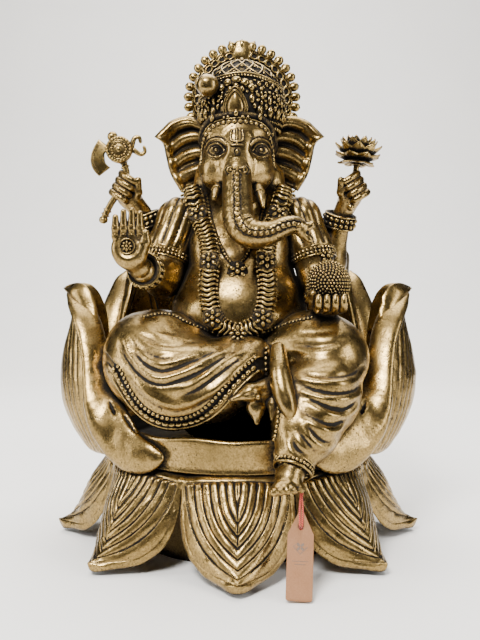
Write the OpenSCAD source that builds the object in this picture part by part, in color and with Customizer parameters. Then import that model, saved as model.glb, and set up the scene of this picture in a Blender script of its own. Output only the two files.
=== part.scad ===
// Ganesha seated on a lotus throne: hollow lotus base, seat bowl and figure,
// cast in brass as separate pieces that are brazed and bolted together.
// Millimetres. +Z is up, the figure looks along -Y, and the origin is on the
// floor at the middle of the foot ring. Right and left are the figure's own,
// so its right hand is at -X.

/* [Lotus base] */
// Radius that the tips of the lower petals reach
tip_r = 119.5; // [116:0.5:121]
// Half width of a lower petal at its widest
lower_half_w = 31; // [28:0.5:32]
// Outer radius of the foot ring
foot_r = 66; // [60:1:67]
// Height of the foot ring
foot_h = 50; // [48:0.5:50]
// Wall of the hollow castings
wall = 4; // [3:0.5:5]

/* [Seat] */
// Outer radius of the seat bowl at its rim
seat_r = 80; // [79:0.5:81]
// Height of the rim above the floor
seat_top = 77; // [75:0.5:79]
// Height of the plate that the figure sits on
seat_floor = 61; // [60:0.5:62]

/* [Throne petals] */
// Height of the two side petals
side_petal_h = 160; // [150:1:165]
// Height of the two petals behind the arms
corner_petal_h = 187; // [175:1:195]
// Height of the rear petal
rear_petal_h = 194; // [180:1:205]

/* [Aureole] */
// Radius that the ring of buds reaches
aureole_r = 40; // [38:0.5:42]
// Number of buds that a full turn would hold
bud_pitch = 33; // [29:2:37]
// Thickness of the disc
aureole_t = 4; // [3:0.5:5]

/* [Fixing] */
// Radius of the stud that holds the figure down
stud_r = 4; // [3:0.5:4]
// Width across the flats of its nut
nut_flats = 13; // [12:0.5:14]

/* [Tag] */
// Width of the hanging tag
tag_w = 14; // [12:0.5:16]
// Length of the tag from its point to its foot
tag_l = 48; // [40:0.5:48]
// Thickness of the tag
tag_t = 0.8; // [0.6:0.1:1]

/* [Hidden] */
$fn = 16;
brass = [0.74, 0.60, 0.34];
dark_brass = [0.45, 0.34, 0.18];
bright_brass = [0.86, 0.74, 0.46];
steel = [0.6, 0.6, 0.62];
copper_card = [0.78, 0.55, 0.42];
red_thread = [0.75, 0.20, 0.15];

// Clearance that the braze fills between two castings
gap = 0.2;
// Facets of a round shape that is cut out of a casting
cut_fn = 96;
// Facets of fingers, toes, buds and other small things
small_fn = 8;
// Room that a cut cube needs to clear the whole figure
far = 300;

lower_angles = [0, 45, 90, 135, 180, 225, 270, 315];

// The figure's landmarks
belly_c = [1, -6, 152];
belly_s = [42, 41, 35];
chest_c = [1, 2, 190];
chest_s = [38, 27, 31];
hips_c = [0, 8, 96];
hips_s = [50, 42, 42];
skull_c = [0, -13, 250];
skull_s = [24, 28, 27];
jaw_c = [0, -20, 232];
jaw_s = [20, 21, 15];
crown_c = [2.5, -7, 277];
crown_s = [28.5, 29, 30];
aureole_c = [2.7, 25, 288.5];
bud_c = [-18.5, -33.5, 285];
modak_c = [54, -48, 165];
modak_r = 14;

trunk_line = [[0, -38, 240], [-1, -44, 228], [-0.5, -50, 213], [1, -54, 201], [7, -57, 194],
              [18, -58, 194], [27, -57, 198], [34, -55, 199], [39, -54, 195]];
trunk_radii = [14, 12, 10.5, 9.8, 9, 7, 6, 5, 3.5];

right_front_line = [[-38, -3, 206], [-45, -8, 186], [-48, -13, 168], [-56, -44, 172]];
right_back_line = [[-38, 9, 203], [-50, 15, 188], [-56, 15, 183], [-61, 6, 205]];
left_front_line = [[40, -3, 206], [47, -8, 186], [51, -12, 167], [53, -32, 155]];
left_back_line = [[40, 9, 203], [55, 15, 184], [62, 15, 178], [67, 6, 205]];
front_arm_radii = [15, 13, 12, 8];
back_arm_radii = [12, 10.5, 9.5, 7];

garland_line = [[-29, -14, 224], [-25, -27, 209], [-19, -36, 193], [-17, -44, 178], [-18, -49, 160],
                [-13.5, -50, 142], [0, -50, 134]];
garland_r = 5.5;
necklace_line = [[-20, -26, 221], [-16, -34, 207], [-13, -40, 192], [-7, -44, 180], [0, -46, 175]];
necklace_r = 1.3;

ear_outline = [[16, 236], [18, 262], [26, 269], [37, 272], [46, 269.5], [54, 262.5], [48.5, 255],
               [47, 246], [43, 235], [38, 227], [30, 231]];

// Shapes that the castings are blended from

function mirror_x(points) = [for (p = points) [-p[0], p[1], p[2]]];
function reversed(list) = [for (i = [len(list) - 1:-1:0]) list[i]];
function both_sides(points) = concat(points, reversed(mirror_x([for (i = [0:len(points) - 2]) points[i]])));
function same(r, points) = [for (p = points) r];

module ball(p, r) { translate(p) sphere(r); }

// A stretched sphere at p with half axes s, grown by g
module blob(p, s, g = 0, $fn = $fn) { hull() translate(p) scale(s + [g, g, g]) sphere(1); }

// A limb, cord or fold along points, with a radius at each, grown by g
module strand(points, radii, g = 0, $fn = $fn) {
    for (i = [0:len(points) - 2])
        hull() {
            ball(points[i], radii[i] + g);
            ball(points[i + 1], radii[i + 1] + g);
        }
}

// A short cylinder at p that stands along the direction d
module band(p, d, r, h) {
    length = norm(d);
    tilt = acos(d[2] / length);
    turn = atan2(d[1], d[0]);
    translate(p) rotate([0, tilt, turn]) cylinder(r = r, h = h, center = true);
}

// One casting: resize by nothing leaves its shape alone and keeps it in one mesh
module casting() { resize([0, 0, 0]) children(); }

// Petals
// A petal is a table with a row for each step from root to tip:
// [radius, height, half width, cupping of its edges, thickness]

lower_table = [
    [67.5, 56, 24, 2, 5], [79, 55.8, 28, 5, 5], [86, 51.5, lower_half_w - 0.5, 8, 5.5],
    [91.5, 45, lower_half_w, 9, 6], [96.5, 38, lower_half_w, 9.5, 6], [101, 29, lower_half_w - 1.5, 9, 6],
    [105, 20.5, 25, 8, 6.5], [109.5, 13, 18, 5, 7], [114.5, 9, 10, 2.5, 6.5], [tip_r, 8, 3, 0.5, 5]];

function throne_table(top) =
    let (rise = top - 50)
    [[79, 59, 20, 5, 5], [88, 57, 25, 9, 5.5], [99, 58.5, 29.5, 16, 6], [109, 50 + rise * 0.2, 31.5, 20, 6],
     [115, 50 + rise * 0.33, 32.5, 21.5, 6], [117, 50 + rise * 0.48, 32, 21, 6],
     [115, 50 + rise * 0.64, 28.5, 18, 6], [111.5, 50 + rise * 0.78, 22, 12, 6.5],
     [109.5, 50 + rise * 0.88, 15.5, 7, 7.5], [110.5, 50 + rise * 0.95, 10, 3, 7.5], [113, top, 4, 1, 5]];

petal_strips = 6;

// The normal of a petal's mid line at row i, towards its face. The face of a
// lower petal is its upper side (side -1), and that of a throne petal its
// outer one (side 1).
function petal_normal(table, i, side) =
    let (a = table[max(0, i - 1)], b = table[min(len(table) - 1, i + 1)],
         d = [b[0] - a[0], b[1] - a[1]])
    [d[1], -d[0]] * (side / norm(d));

// The point of a petal at row i and share s of its width, sunk from its face by
// a share of its thickness. The edges of a lower petal droop, and those of a
// throne petal cup inwards.
function petal_point(table, i, s, sunk, side) =
    let (row = table[i], n = petal_normal(table, i, side),
         t = row[4] * sunk * (1 - 0.45 * s * s), bend = row[3] * s * s,
         back = side > 0 ? 1 : 0.15, down = side > 0 ? 0 : 0.85)
    [row[0] - n[0] * t - bend * back, row[2] * s, row[1] - n[1] * t - bend * down];

module petal(table, side) {
    rows = len(table);
    cols = petal_strips + 1;
    points = [for (sunk = [0, 1]) for (i = [0:rows - 1]) for (j = [0:petal_strips])
        petal_point(table, i, 2 * j / petal_strips - 1, sunk, side)];
    function at(sunk, i, j) = sunk * rows * cols + i * cols + j;
    function two(a, b, c, d) = [[a, b, c], [a, c, d]];
    skins = [for (i = [0:rows - 2]) for (j = [0:petal_strips - 1]) each concat(
        two(at(0, i, j), at(0, i, j + 1), at(0, i + 1, j + 1), at(0, i + 1, j)),
        two(at(1, i, j), at(1, i + 1, j), at(1, i + 1, j + 1), at(1, i, j + 1)))];
    sides = [for (i = [0:rows - 2]) each concat(
        two(at(0, i, 0), at(0, i + 1, 0), at(1, i + 1, 0), at(1, i, 0)),
        two(at(0, i, petal_strips), at(1, i, petal_strips), at(1, i + 1, petal_strips), at(0, i + 1, petal_strips)))];
    ends = [for (j = [0:petal_strips - 1]) each concat(
        two(at(0, 0, j), at(1, 0, j), at(1, 0, j + 1), at(0, 0, j + 1)),
        two(at(0, rows - 1, j), at(0, rows - 1, j + 1), at(1, rows - 1, j + 1), at(1, rows - 1, j)))];
    faces = concat(skins, sides, ends);
    polyhedron(points, side > 0 ? faces : [for (f = faces) [f[2], f[1], f[0]]], convexity = 6);
}

// Turns a petal from +X to its place: 0 is at the front, and 90 at the figure's left
module placed(angle) { rotate([0, 0, angle - 90]) children(); }

module lower_petal_form(angle) { placed(angle) petal(lower_table, -1); }

module lower_petal(angle) { color(brass) lower_petal_form(angle); }

module throne_petal(angle, top) {
    color(brass) casting() difference() {
        placed(angle) petal(throne_table(top), 1);
        for (near = [-45, 0, 45]) translate([0, 0, gap]) lower_petal_form(angle + near);
        seat_form(gap);
    }
}

// Base and seat

module foot_ring() {
    color(dark_brass) rotate_extrude($fn = 96) difference() {
        square([foot_r, foot_h]);
        translate([0, -1]) square([foot_r - wall, foot_h - wall + 1]);
        square([stud_r + 0.5, foot_h + 1]);
    }
}

module seat_form(g = 0) {
    rotate_extrude($fn = cut_fn)
        polygon([[0, foot_h - g], [foot_r + g, foot_h - g], [foot_r + g, 57 - g], [77 + g, 57 - g],
                 [seat_r - 1.5 + g, 66], [seat_r + g, seat_top + g], [0, seat_top + g]]);
}

module seat_bowl() {
    color(brass) rotate_extrude($fn = 96) polygon([
        [stud_r + 0.5, foot_h + gap], [foot_r, foot_h + gap], [foot_r, 57], [77, 57], [seat_r - 1.5, 66],
        [seat_r, seat_top], [seat_r - wall, seat_top], [seat_r - wall - 2, 64], [70, seat_floor],
        [stud_r + 0.5, seat_floor]]);
}

module figure_stud() { color(steel) translate([0, 0, 36]) cylinder(r = stud_r, h = 40, $fn = 48); }

module figure_washer() {
    color(steel) translate([0, 0, foot_h - wall - 2]) difference() {
        cylinder(r = 11, h = 1.8, $fn = 48);
        translate([0, 0, -1]) cylinder(r = stud_r + 0.3, h = 4, $fn = 48);
    }
}

module figure_nut() {
    color(steel) translate([0, 0, foot_h - wall - 8.7]) difference() {
        cylinder(r = nut_flats / sqrt(3), h = 6.5, $fn = 6);
        translate([0, 0, -1]) cylinder(r = stud_r + 0.05, h = 9, $fn = 48);
    }
}

// Figure: torso and legs

module torso_form(g = 0) {
    difference() {
        union() {
            blob(belly_c, belly_s, g);
            blob(chest_c, chest_s, g);
            blob(hips_c, hips_s, g);
        }
        translate([-far / 2, -far / 2, seat_floor + gap - g - far]) cube(far);
    }
}

module torso() {
    color(brass) casting() difference() {
        torso_form();
        cylinder(r = stud_r + 0.3, h = 77, $fn = 32);
    }
}

module right_leg_form(g = 0) {
    strand([[-18, -22, 116], [-50, -32, 119], [-56, -38, 118]], [28, 27, 24], g);
    strand([[-56, -40, 112], [-36, -52, 107], [-8, -58, 106]], [20, 22, 17], g);
}

module right_leg() { color(brass) casting() difference() { right_leg_form(); torso_form(gap); } }

module left_leg_form(g = 0) {
    strand([[20, -20, 116], [50, -36, 122], [56, -42, 121]], [27, 24, 22], g);
    strand([[58, -48, 113], [50, -62, 95], [38, -76, 76]], [20, 20, 15], g);
}

module left_leg() {
    color(brass) casting() difference() {
        left_leg_form();
        torso_form(gap);
        right_leg_form(gap);
        seat_form(gap);
        for (angle = lower_angles) translate([0, 0, gap]) lower_petal_form(angle);
    }
}

module left_foot_form(g = 0) {
    strand([[32, -84, 66], [29, -90, 59]], [8, 7.5], g);
    for (i = [0:4]) strand([[29, -90, 59], [20 + i * 3.5, -105 + i * 0.9, 54.5]], [7, 3.6 - i * 0.3], g, $fn = small_fn);
}

module left_foot() {
    color(bright_brass) casting() difference() {
        left_foot_form();
        left_leg_form(gap);
        seat_form(gap);
        for (angle = lower_angles) translate([0, 0, gap]) lower_petal_form(angle);
    }
}

module pleats_form(g = 0) {
    for (i = [-1:2])
        strand([[12 + i * 2.5, -62, 112], [12 + i * 5, -70, 100], [13 + i * 4, -72, 91]], [6, 5, 3], g, $fn = small_fn);
}

module dhoti_pleats() {
    color(brass) casting() difference() {
        pleats_form();
        torso_form(gap);
        right_leg_form(gap);
        left_leg_form(gap);
        sash_form(gap);
        seat_form(gap);
    }
}

module sash_form(g = 0) { strand([[26, -62, 128], [29, -72, 113], [31, -78, 96]], [7, 6, 4.5], g); }

module waist_sash() {
    color(bright_brass) casting() difference() {
        sash_form();
        torso_form(gap);
        right_leg_form(gap);
        left_leg_form(gap);
    }
}

// Figure: head

module head_form(g = 0) {
    blob(skull_c, skull_s, g);
    blob(jaw_c, jaw_s, g);
    strand([[0, 0, 214], [0, -6, 234]], [17, 18], g);
}

module head() { color(brass) casting() difference() { head_form(); torso_form(gap); } }

module trunk_form(g = 0) { strand(trunk_line, trunk_radii, g); }

module trunk() {
    color(bright_brass) casting() difference() {
        trunk_form();
        head_form(gap);
        torso_form(gap);
    }
}

// An ear hangs from the skull in the XZ plane. side is -1 at the figure's right
module ear_form(side, g = 0) {
    half = 2.2 + g;
    translate([side < 0 ? 0 : 1, -6, 0])
        rotate([0, 0, side * 8])
            rotate([90, 0, 0])
                linear_extrude(2 * half, center = true)
                    offset(r = g) polygon([for (p = ear_outline) [side * p[0], p[1]]]);
}

module ear(side) { color(brass) casting() difference() { ear_form(side); head_form(gap); torso_form(gap); } }

module tusk_form(side, g = 0) {
    reach = side < 0 ? 0.55 : 1;
    strand([[side * 12.5, -38, 224], [side * (12.5 + 3 * reach), -46, 224 - 12 * reach]], [3.6, 1.8], g);
}

module tusk(side) {
    color(bright_brass) casting() difference() {
        tusk_form(side);
        head_form(gap);
        trunk_form(gap);
    }
}

// Crown, aureole and their ornaments

module crown_form(g = 0) {
    difference() {
        blob(crown_c, crown_s, g);
        translate([-far / 2, -far / 2, 256 - g - far]) cube(far);
    }
}

module crown() {
    color(dark_brass) casting() difference() {
        crown_form();
        head_form(gap);
        ear_form(-1, gap);
        ear_form(1, gap);
    }
}

module crown_bud() { color(bright_brass) casting() difference() { ball(bud_c, 7); crown_form(gap); } }

module aureole() {
    reach = 115;
    color(brass) casting() difference() {
        translate(aureole_c) rotate([90, 0, 0]) {
            cylinder(r = aureole_r - 5, h = aureole_t, center = true, $fn = 64);
            for (a = [-reach:360 / bud_pitch:reach + 1])
                rotate([0, 0, 90 + a])
                    strand([[aureole_r - 8, 0, 0], [aureole_r - 3, 0, 0]], [1.6, 3], $fn = 6);
        }
        crown_form(gap);
        ear_form(-1, gap);
        ear_form(1, gap);
        head_form(gap);
    }
}

// Arms and hands

module right_front_arm_form(g = 0) { strand(right_front_line, front_arm_radii, g); }

module right_back_arm_form(g = 0) { strand(right_back_line, back_arm_radii, g); }

module left_front_arm_form(g = 0) { strand(left_front_line, front_arm_radii, g); }

module left_back_arm_form(g = 0) { strand(left_back_line, back_arm_radii, g); }

module right_front_arm() {
    color(brass) casting() difference() {
        right_front_arm_form();
        torso_form(gap);
        head_form(gap);
    }
}

module right_back_arm() {
    color(brass) casting() difference() {
        right_back_arm_form();
        torso_form(gap);
        right_front_arm_form(gap);
    }
}

module left_front_arm() {
    color(brass) casting() difference() {
        left_front_arm_form();
        torso_form(gap);
        head_form(gap);
        left_leg_form(gap);
        ball(modak_c, modak_r + 3 * gap);
    }
}

module left_back_arm() {
    color(brass) casting() difference() {
        left_back_arm_form();
        torso_form(gap);
        left_front_arm_form(gap);
    }
}

// The open hand that is raised in blessing
module right_front_hand_form(g = 0) {
    blob([-61, -55, 186], [10.5, 5.5, 12], g);
    strand([[-57.5, -49, 174], [-60, -53, 180]], [7, 7], g);
    for (i = [0:3]) strand([[-68.5 + i * 4.9, -56, 192], [-68 + i * 4.5, -57.5, 204 + (i == 1 || i == 2 ? 2 : 0)]],
               [2.6, 2.1], g, $fn = small_fn);
    strand([[-53, -54, 182], [-50.5, -57, 193]], [3.2, 2.4], g, $fn = small_fn);
}

module right_front_hand() {
    color(bright_brass) casting() difference() {
        right_front_hand_form();
        right_front_arm_form(gap);
    }
}

// A fist that closes round a shaft, at p with its wrist at w
module fist_form(w, p, side, g = 0) {
    strand([w, p], [6.5, 8.5], g);
    for (i = [0:3])
        strand([p + [side * 8, -3, 6 - i * 4.2], p + [side * 1, -9, 6 - i * 4.2]], [2.7, 2.4], g, $fn = small_fn);
    strand([p + [-side * 6, -2, -2], p + [-side * 3, -7, 8]], [3, 2.4], g, $fn = small_fn);
}

module right_back_hand() {
    color(brass) casting() difference() {
        fist_form([-63, 4, 211], [-71, 0, 225], -1);
        right_back_arm_form(gap);
        axe_shaft(gap);
    }
}

module left_back_hand() {
    color(brass) casting() difference() {
        fist_form([69, 4, 211], [73, 0, 225], 1);
        left_back_arm_form(gap);
        lotus_stem(gap);
    }
}

// The cupped hand under the sweet
module left_front_hand() {
    color(brass) casting() difference() {
        union() {
            strand([[53, -34, 154], [54, -46, 150]], [7.5, 7]);
            for (i = [0:3])
                strand([[47.5 + i * 4.4, -50, 149], [46.5 + i * 5, -62, 152], [46.5 + i * 5, -65, 157]],
                       [3.4, 2.6, 2.2], $fn = small_fn);
        }
        left_front_arm_form(gap);
        left_leg_form(gap);
        ball(modak_c, modak_r + 3 * gap);
    }
}

// What the hands hold

axe_foot = [-87, -6, 206];
axe_head = [-75, -6, 247];

module axe_shaft(g = 0) {
    strand([axe_foot, [-82, -6, 216], [-72, -6, 232], axe_head], [2.4, 2.2, 2.2, 2.4], g, $fn = small_fn);
}

module axe() {
    color(bright_brass) casting() {
        axe_shaft();
        translate(axe_head + [-1, -3, 3]) rotate([90, 0, 0]) {
            cylinder(r = 9.2, h = 5, center = true, $fn = 32);
            linear_extrude(3, center = true) difference() {
                translate([-8, -5]) circle(11.5, $fn = 32);
                translate([2, -1]) circle(11, $fn = 32);
            }
        }
        ball([-80.5, -7, 259], 3.6);
        strand([[-68, -7, 255], [-65, -7, 258.5], [-63, -7, 255]], [1.8, 1.8, 1.8], $fn = small_fn);
        strand([[-66, -7, 250], [-60.5, -7, 248], [-60, -7, 252]], [1.8, 1.6, 1.4], $fn = small_fn);
    }
}

lotus_foot = [73, -4, 214];
lotus_head = [77, -4, 244];

module lotus_stem(g = 0) { strand([lotus_foot, lotus_head], [2, 2.4], g, $fn = small_fn); }

module lotus_flower() {
    color(bright_brass) casting() {
        lotus_stem();
        translate(lotus_head + [1, 0, 4]) {
            blob([0, 0, 2], [9, 9, 7]);
            for (tier = [0:2]) for (i = [0:7])
                rotate([0, 10, 0]) rotate([0, 0, i * 45 + tier * 22.5])
                    strand([[5, 0, tier * 2], [13.5 - tier * 3, 0, 2 + tier * 4.5]], [3.2, 0.8], $fn = 6);
        }
    }
}

module modak() { color(bright_brass) ball(modak_c, modak_r, $fn = 48); }

// Ornaments

module right_front_bangle() {
    color(dark_brass) casting() difference() {
        band([-55.5, -42.5, 172.5], [-8, -31, 5], 11.5, 9);
        right_front_arm_form(gap);
        right_front_hand_form(gap);
    }
}

module right_back_bangle() {
    color(dark_brass) casting() difference() {
        band([-61, 5.5, 206], [-7, -4, 22], 11, 9.5, $fn = 32);
        right_back_arm_form(gap);
        right_front_arm_form(gap);
        fist_form([-63, 4, 211], [-71, 0, 225], -1, gap);
    }
}

module left_front_bangle() {
    color(dark_brass) casting() difference() {
        band([52.8, -29, 157], [1, -20, -12], 11.5, 8, $fn = 32);
        left_front_arm_form(gap);
        left_leg_form(gap);
        torso_form(gap);
        ball(modak_c, modak_r + 3 * gap);
    }
}

module left_back_bangle() {
    color(dark_brass) casting() difference() {
        band([67, 5.5, 206], [5, -8, 26], 11, 9.5, $fn = 32);
        left_back_arm_form(gap);
        fist_form([69, 4, 211], [73, 0, 225], 1, gap);
    }
}

module right_armlet() {
    color(dark_brass) casting() difference() {
        band([-46, -9, 182], [-4, -5, -18], 15.5, 8, $fn = 32);
        right_front_arm_form(gap);
        torso_form(gap);
        right_back_arm_form(gap);
    }
}

module left_armlet() {
    color(dark_brass) casting() difference() {
        band([48.5, -9, 182], [4, -5, -18], 15.5, 8, $fn = 32);
        left_front_arm_form(gap);
        torso_form(gap);
        left_back_arm_form(gap);
    }
}

module anklet() {
    color(dark_brass) casting() difference() {
        band([31, -86.5, 63], [-4, -7, -9], 11.5, 5, $fn = 32);
        left_leg_form(gap);
        left_foot_form(gap);
        seat_form(gap);
        for (angle = lower_angles) translate([0, 0, gap]) lower_petal_form(angle);
    }
}

module garland_form(g = 0) {
    line = both_sides(garland_line);
    strand(line, same(garland_r, line), g, $fn = 12);
}

module garland() {
    color(bright_brass) casting() difference() {
        garland_form();
        torso_form(gap);
        head_form(gap);
        trunk_form(gap);
        right_front_arm_form(gap);
        left_front_arm_form(gap);
        right_leg_form(gap);
        left_leg_form(gap);
    }
}

module necklace_form(g = 0) {
    line = both_sides(necklace_line);
    strand(line, same(necklace_r, line), g, $fn = small_fn);
}

module bead_necklace() {
    color(dark_brass) casting() difference() {
        necklace_form();
        torso_form(gap - 1.2);
        head_form(gap);
        trunk_form(gap);
        garland_form(gap);
        pendant_form(gap);
    }
}

module pendant_form(g = 0) {
    blob([0, -47, 173], [6, 3, 6], g);
    for (x = [-3, 3]) blob([x, -47, 166.5], [2.6, 3, 3.6], g, $fn = small_fn);
}

module necklace_pendant() {
    color(bright_brass) casting() difference() {
        pendant_form();
        torso_form(gap);
        trunk_form(gap);
    }
}

module waist_belt() {
    line = both_sides([[-46, -35, 143.5], [-36, -42, 139], [-18, -49, 133], [0, -52, 129]]);
    color(dark_brass) casting() difference() {
        strand(line, same(2.4, line), $fn = small_fn);
        torso_form(gap);
        right_leg_form(gap);
        left_leg_form(gap);
        garland_form(gap);
        sash_form(gap);
    }
}

// Hanging tag

tag_top = [34.6, -98.5, 43.4];
tag_lean = 28.5;
tag_turn = -3.5;
hole_down = 10;
hole_r = 1.6;
shoulder_down = 14;
corner_r = 1.4;

// A rounded corner about [x, y], from one angle on through a quarter turn
function corner(x, y, from) = [for (a = [0:22.5:90]) [x, y] + corner_r * [cos(from + a), sin(from + a)]];

module tag() {
    half = tag_w / 2;
    inset = half - corner_r;
    outline = concat([[1.2, 0], [-1.2, 0], [-half, -shoulder_down]], corner(-inset, corner_r - tag_l, 180),
                     corner(inset, corner_r - tag_l, 270), [[half, -shoulder_down]]);
    color(copper_card) translate(tag_top) rotate([90 - tag_lean, 0, 0]) rotate([0, 0, tag_turn])
        linear_extrude(tag_t, center = true) difference() {
            polygon(outline);
            translate([0, -hole_down]) circle(hole_r, $fn = 32);
        }
}

// The thread comes down in front of the tag, through its hole and round behind
// it, and goes back up beside itself
thread_d = 1;
thread_sides = 8;
thread_route = [[34.3, -97, 51.9], [34.1, -97.8, 49.6], [33.8, -98.8, 47], [33.6, -99.9, 44.3], [33.4, -101.2, 41.5],
                [33.4, -102.6, 38.9], [33.3, -103.8, 36.7], [33.3, -103.9, 35.2], [33.3, -102.8, 34.3], [33, -101.3, 33.4],
                [32.6, -99.8, 32.6], [32.9, -98.3, 31.9], [34, -97.5, 31.6], [35.2, -98.2, 31.9], [35.5, -99.8, 32.6],
                [35, -101.3, 33.4], [34.7, -102.8, 34.3], [34.6, -103.9, 35.2], [34.7, -103.8, 36.7], [34.9, -102.6, 38.9],
                [35.1, -101.2, 41.5], [35.1, -99.9, 44.3], [35, -98.8, 47], [34.9, -97.8, 49.6], [35.5, -97, 51.9]];

// A round tube along points: each ring stands square to the line there
module tube(points, r, sides) {
    n = len(points);
    function along(i) = let (d = points[min(n - 1, i + 1)] - points[max(0, i - 1)]) d / norm(d);
    function across(i) = let (c = cross(along(i), [1, 0, 0])) c / norm(c);
    rings = [for (i = [0:n - 1]) let (u = across(i), v = cross(along(i), u))
        for (k = [0:sides - 1]) points[i] + r * (cos(360 * k / sides) * u + sin(360 * k / sides) * v)];
    walls = [for (i = [0:n - 2]) for (k = [0:sides - 1]) let (a = i * sides + k, b = i * sides + (k + 1) % sides)
        each [[a, a + sides, b + sides], [a, b + sides, b]]];
    polyhedron(rings, concat(walls, [[for (k = [0:sides - 1]) k]], [[for (k = [sides - 1:-1:0]) (n - 1) * sides + k]]));
}

module tag_thread() { color(red_thread) tube(thread_route, thread_d / 2, thread_sides); }

// One name for each node, and what each one draws

foot_ring();
seat_bowl();
figure_stud();
figure_washer();
figure_nut();
lower_petal(0);  // lower_petal_front
lower_petal(45);  // lower_petal_front_left
lower_petal(90);  // lower_petal_left
lower_petal(135);  // lower_petal_rear_left
lower_petal(180);  // lower_petal_rear
lower_petal(225);  // lower_petal_rear_right
lower_petal(270);  // lower_petal_right
lower_petal(315);  // lower_petal_front_right
throne_petal(90, side_petal_h);  // throne_petal_left
throne_petal(135, corner_petal_h);  // throne_petal_rear_left
throne_petal(180, rear_petal_h);  // throne_petal_rear
throne_petal(225, corner_petal_h);  // throne_petal_rear_right
throne_petal(270, side_petal_h);  // throne_petal_right
torso();
right_leg();
left_leg();
left_foot();
dhoti_pleats();
waist_sash();
head();
trunk();
ear(-1);  // right_ear
ear(1);  // left_ear
tusk(-1);  // right_tusk
tusk(1);  // left_tusk
crown();
crown_bud();
aureole();
right_front_arm();
right_back_arm();
left_front_arm();
left_back_arm();
right_front_hand();
right_back_hand();
left_front_hand();
left_back_hand();
axe();
lotus_flower();
modak();
right_front_bangle();
right_back_bangle();
left_front_bangle();
left_back_bangle();
right_armlet();
left_armlet();
anklet();
garland();
bead_necklace();
necklace_pendant();
waist_belt();
tag();
tag_thread();
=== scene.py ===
# Ganesha seated on a lotus throne, cast in brass with an antique finish.
# The CAD model gives the frame: where each casting lies, and how big it is.
# Here most castings get a sculpted surface; the foot ring and the fastenings keep the CAD model's shape.
# Forms are modelled in millimetres in the CAD model's own frame: +Z is up, the figure looks along -Y,
# and its right hand is at -X.
import math

import bpy
import mathutils
import numpy as np
import openvdb
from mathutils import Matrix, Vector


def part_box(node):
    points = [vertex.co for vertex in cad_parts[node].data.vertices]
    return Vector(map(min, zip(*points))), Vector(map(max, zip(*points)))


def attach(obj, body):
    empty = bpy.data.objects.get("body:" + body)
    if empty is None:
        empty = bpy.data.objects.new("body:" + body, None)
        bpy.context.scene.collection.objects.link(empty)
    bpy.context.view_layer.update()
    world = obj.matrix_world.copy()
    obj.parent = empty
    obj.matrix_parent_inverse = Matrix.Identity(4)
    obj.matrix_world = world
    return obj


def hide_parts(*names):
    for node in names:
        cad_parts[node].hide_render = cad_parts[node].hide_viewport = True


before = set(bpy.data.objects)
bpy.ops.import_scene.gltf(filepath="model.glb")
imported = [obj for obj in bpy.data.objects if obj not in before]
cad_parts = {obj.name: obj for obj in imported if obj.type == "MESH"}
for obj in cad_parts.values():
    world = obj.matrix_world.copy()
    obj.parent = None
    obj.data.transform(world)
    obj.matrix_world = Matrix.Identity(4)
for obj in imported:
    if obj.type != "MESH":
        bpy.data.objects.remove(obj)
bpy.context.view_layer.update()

MM = 0.001
IDOL = "idol"
TAG = "hang_tag"
pi = math.pi


def node_box(node):
    """A node's lowest and highest corners in millimetres."""
    low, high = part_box(node)
    return np.array(low) / MM, np.array(high) / MM


def centre(node):
    low, high = node_box(node)
    return (low + high) / 2


# ---------------------------------------------------------------- shapes
# A shape is a pair: an array of points, and a list of face arrays whose rows
# are the corners of triangles or quads.

def moved(shape, turn=None, shift=(0, 0, 0)):
    points, faces = shape
    if turn is not None:
        points = points @ np.asarray(turn).T
    return points + np.asarray(shift, float), faces


def joined(shapes):
    points, faces, count = [], [], 0
    for shape_points, shape_faces in shapes:
        points.append(shape_points)
        faces += [f + count for f in shape_faces if len(f)]
        count += len(shape_points)
    return np.concatenate(points), faces


def turn_x(degrees):
    a = math.radians(degrees)
    return np.array([[1, 0, 0], [0, math.cos(a), -math.sin(a)], [0, math.sin(a), math.cos(a)]])


def turn_y(degrees):
    a = math.radians(degrees)
    return np.array([[math.cos(a), 0, math.sin(a)], [0, 1, 0], [-math.sin(a), 0, math.cos(a)]])


def turn_z(degrees):
    a = math.radians(degrees)
    return np.array([[math.cos(a), -math.sin(a), 0], [math.sin(a), math.cos(a), 0], [0, 0, 1]])


def unit(vector):
    vector = np.asarray(vector, float)
    return vector / np.maximum(np.linalg.norm(vector, axis=-1, keepdims=True), 1e-9)


def aligned(direction, up=(0, 0, 1)):
    """The turn that lays +X along a direction, with +Z near to up."""
    x = unit(direction)
    y = np.cross(up, x)
    if np.linalg.norm(y) < 1e-6:
        y = np.cross((0, 1, 0), x)
    y = unit(y)
    return np.stack([x, y, np.cross(x, y)], 1)


def grid_quads(rows, cols, closed_rows=False, closed_cols=False):
    """Quads of a grid of points that runs row by row."""
    i = np.arange(rows if closed_rows else rows - 1)[:, None]
    j = np.arange(cols if closed_cols else cols - 1)[None, :]
    ni, nj = (i + 1) % rows, (j + 1) % cols
    corners = [i * cols + j, ni * cols + j, ni * cols + nj, i * cols + nj]
    return np.stack(np.broadcast_arrays(*corners), -1).reshape(-1, 4)


def lathe(profile, sides=96, wobble=None):
    """A profile of (radius, height) points turned about Z, open at both ends."""
    profile = np.asarray(profile, float)
    a = np.linspace(0, 2 * pi, sides, endpoint=False)
    radius = np.repeat(profile[:, :1], sides, 1)
    height = np.repeat(profile[:, 1:], sides, 1)
    if wobble is not None:
        radius, height = wobble(radius, height, a[None, :])
    points = np.stack([radius * np.cos(a), radius * np.sin(a), height], -1)
    return points.reshape(-1, 3), [grid_quads(len(profile), sides, closed_cols=True)]


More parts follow.
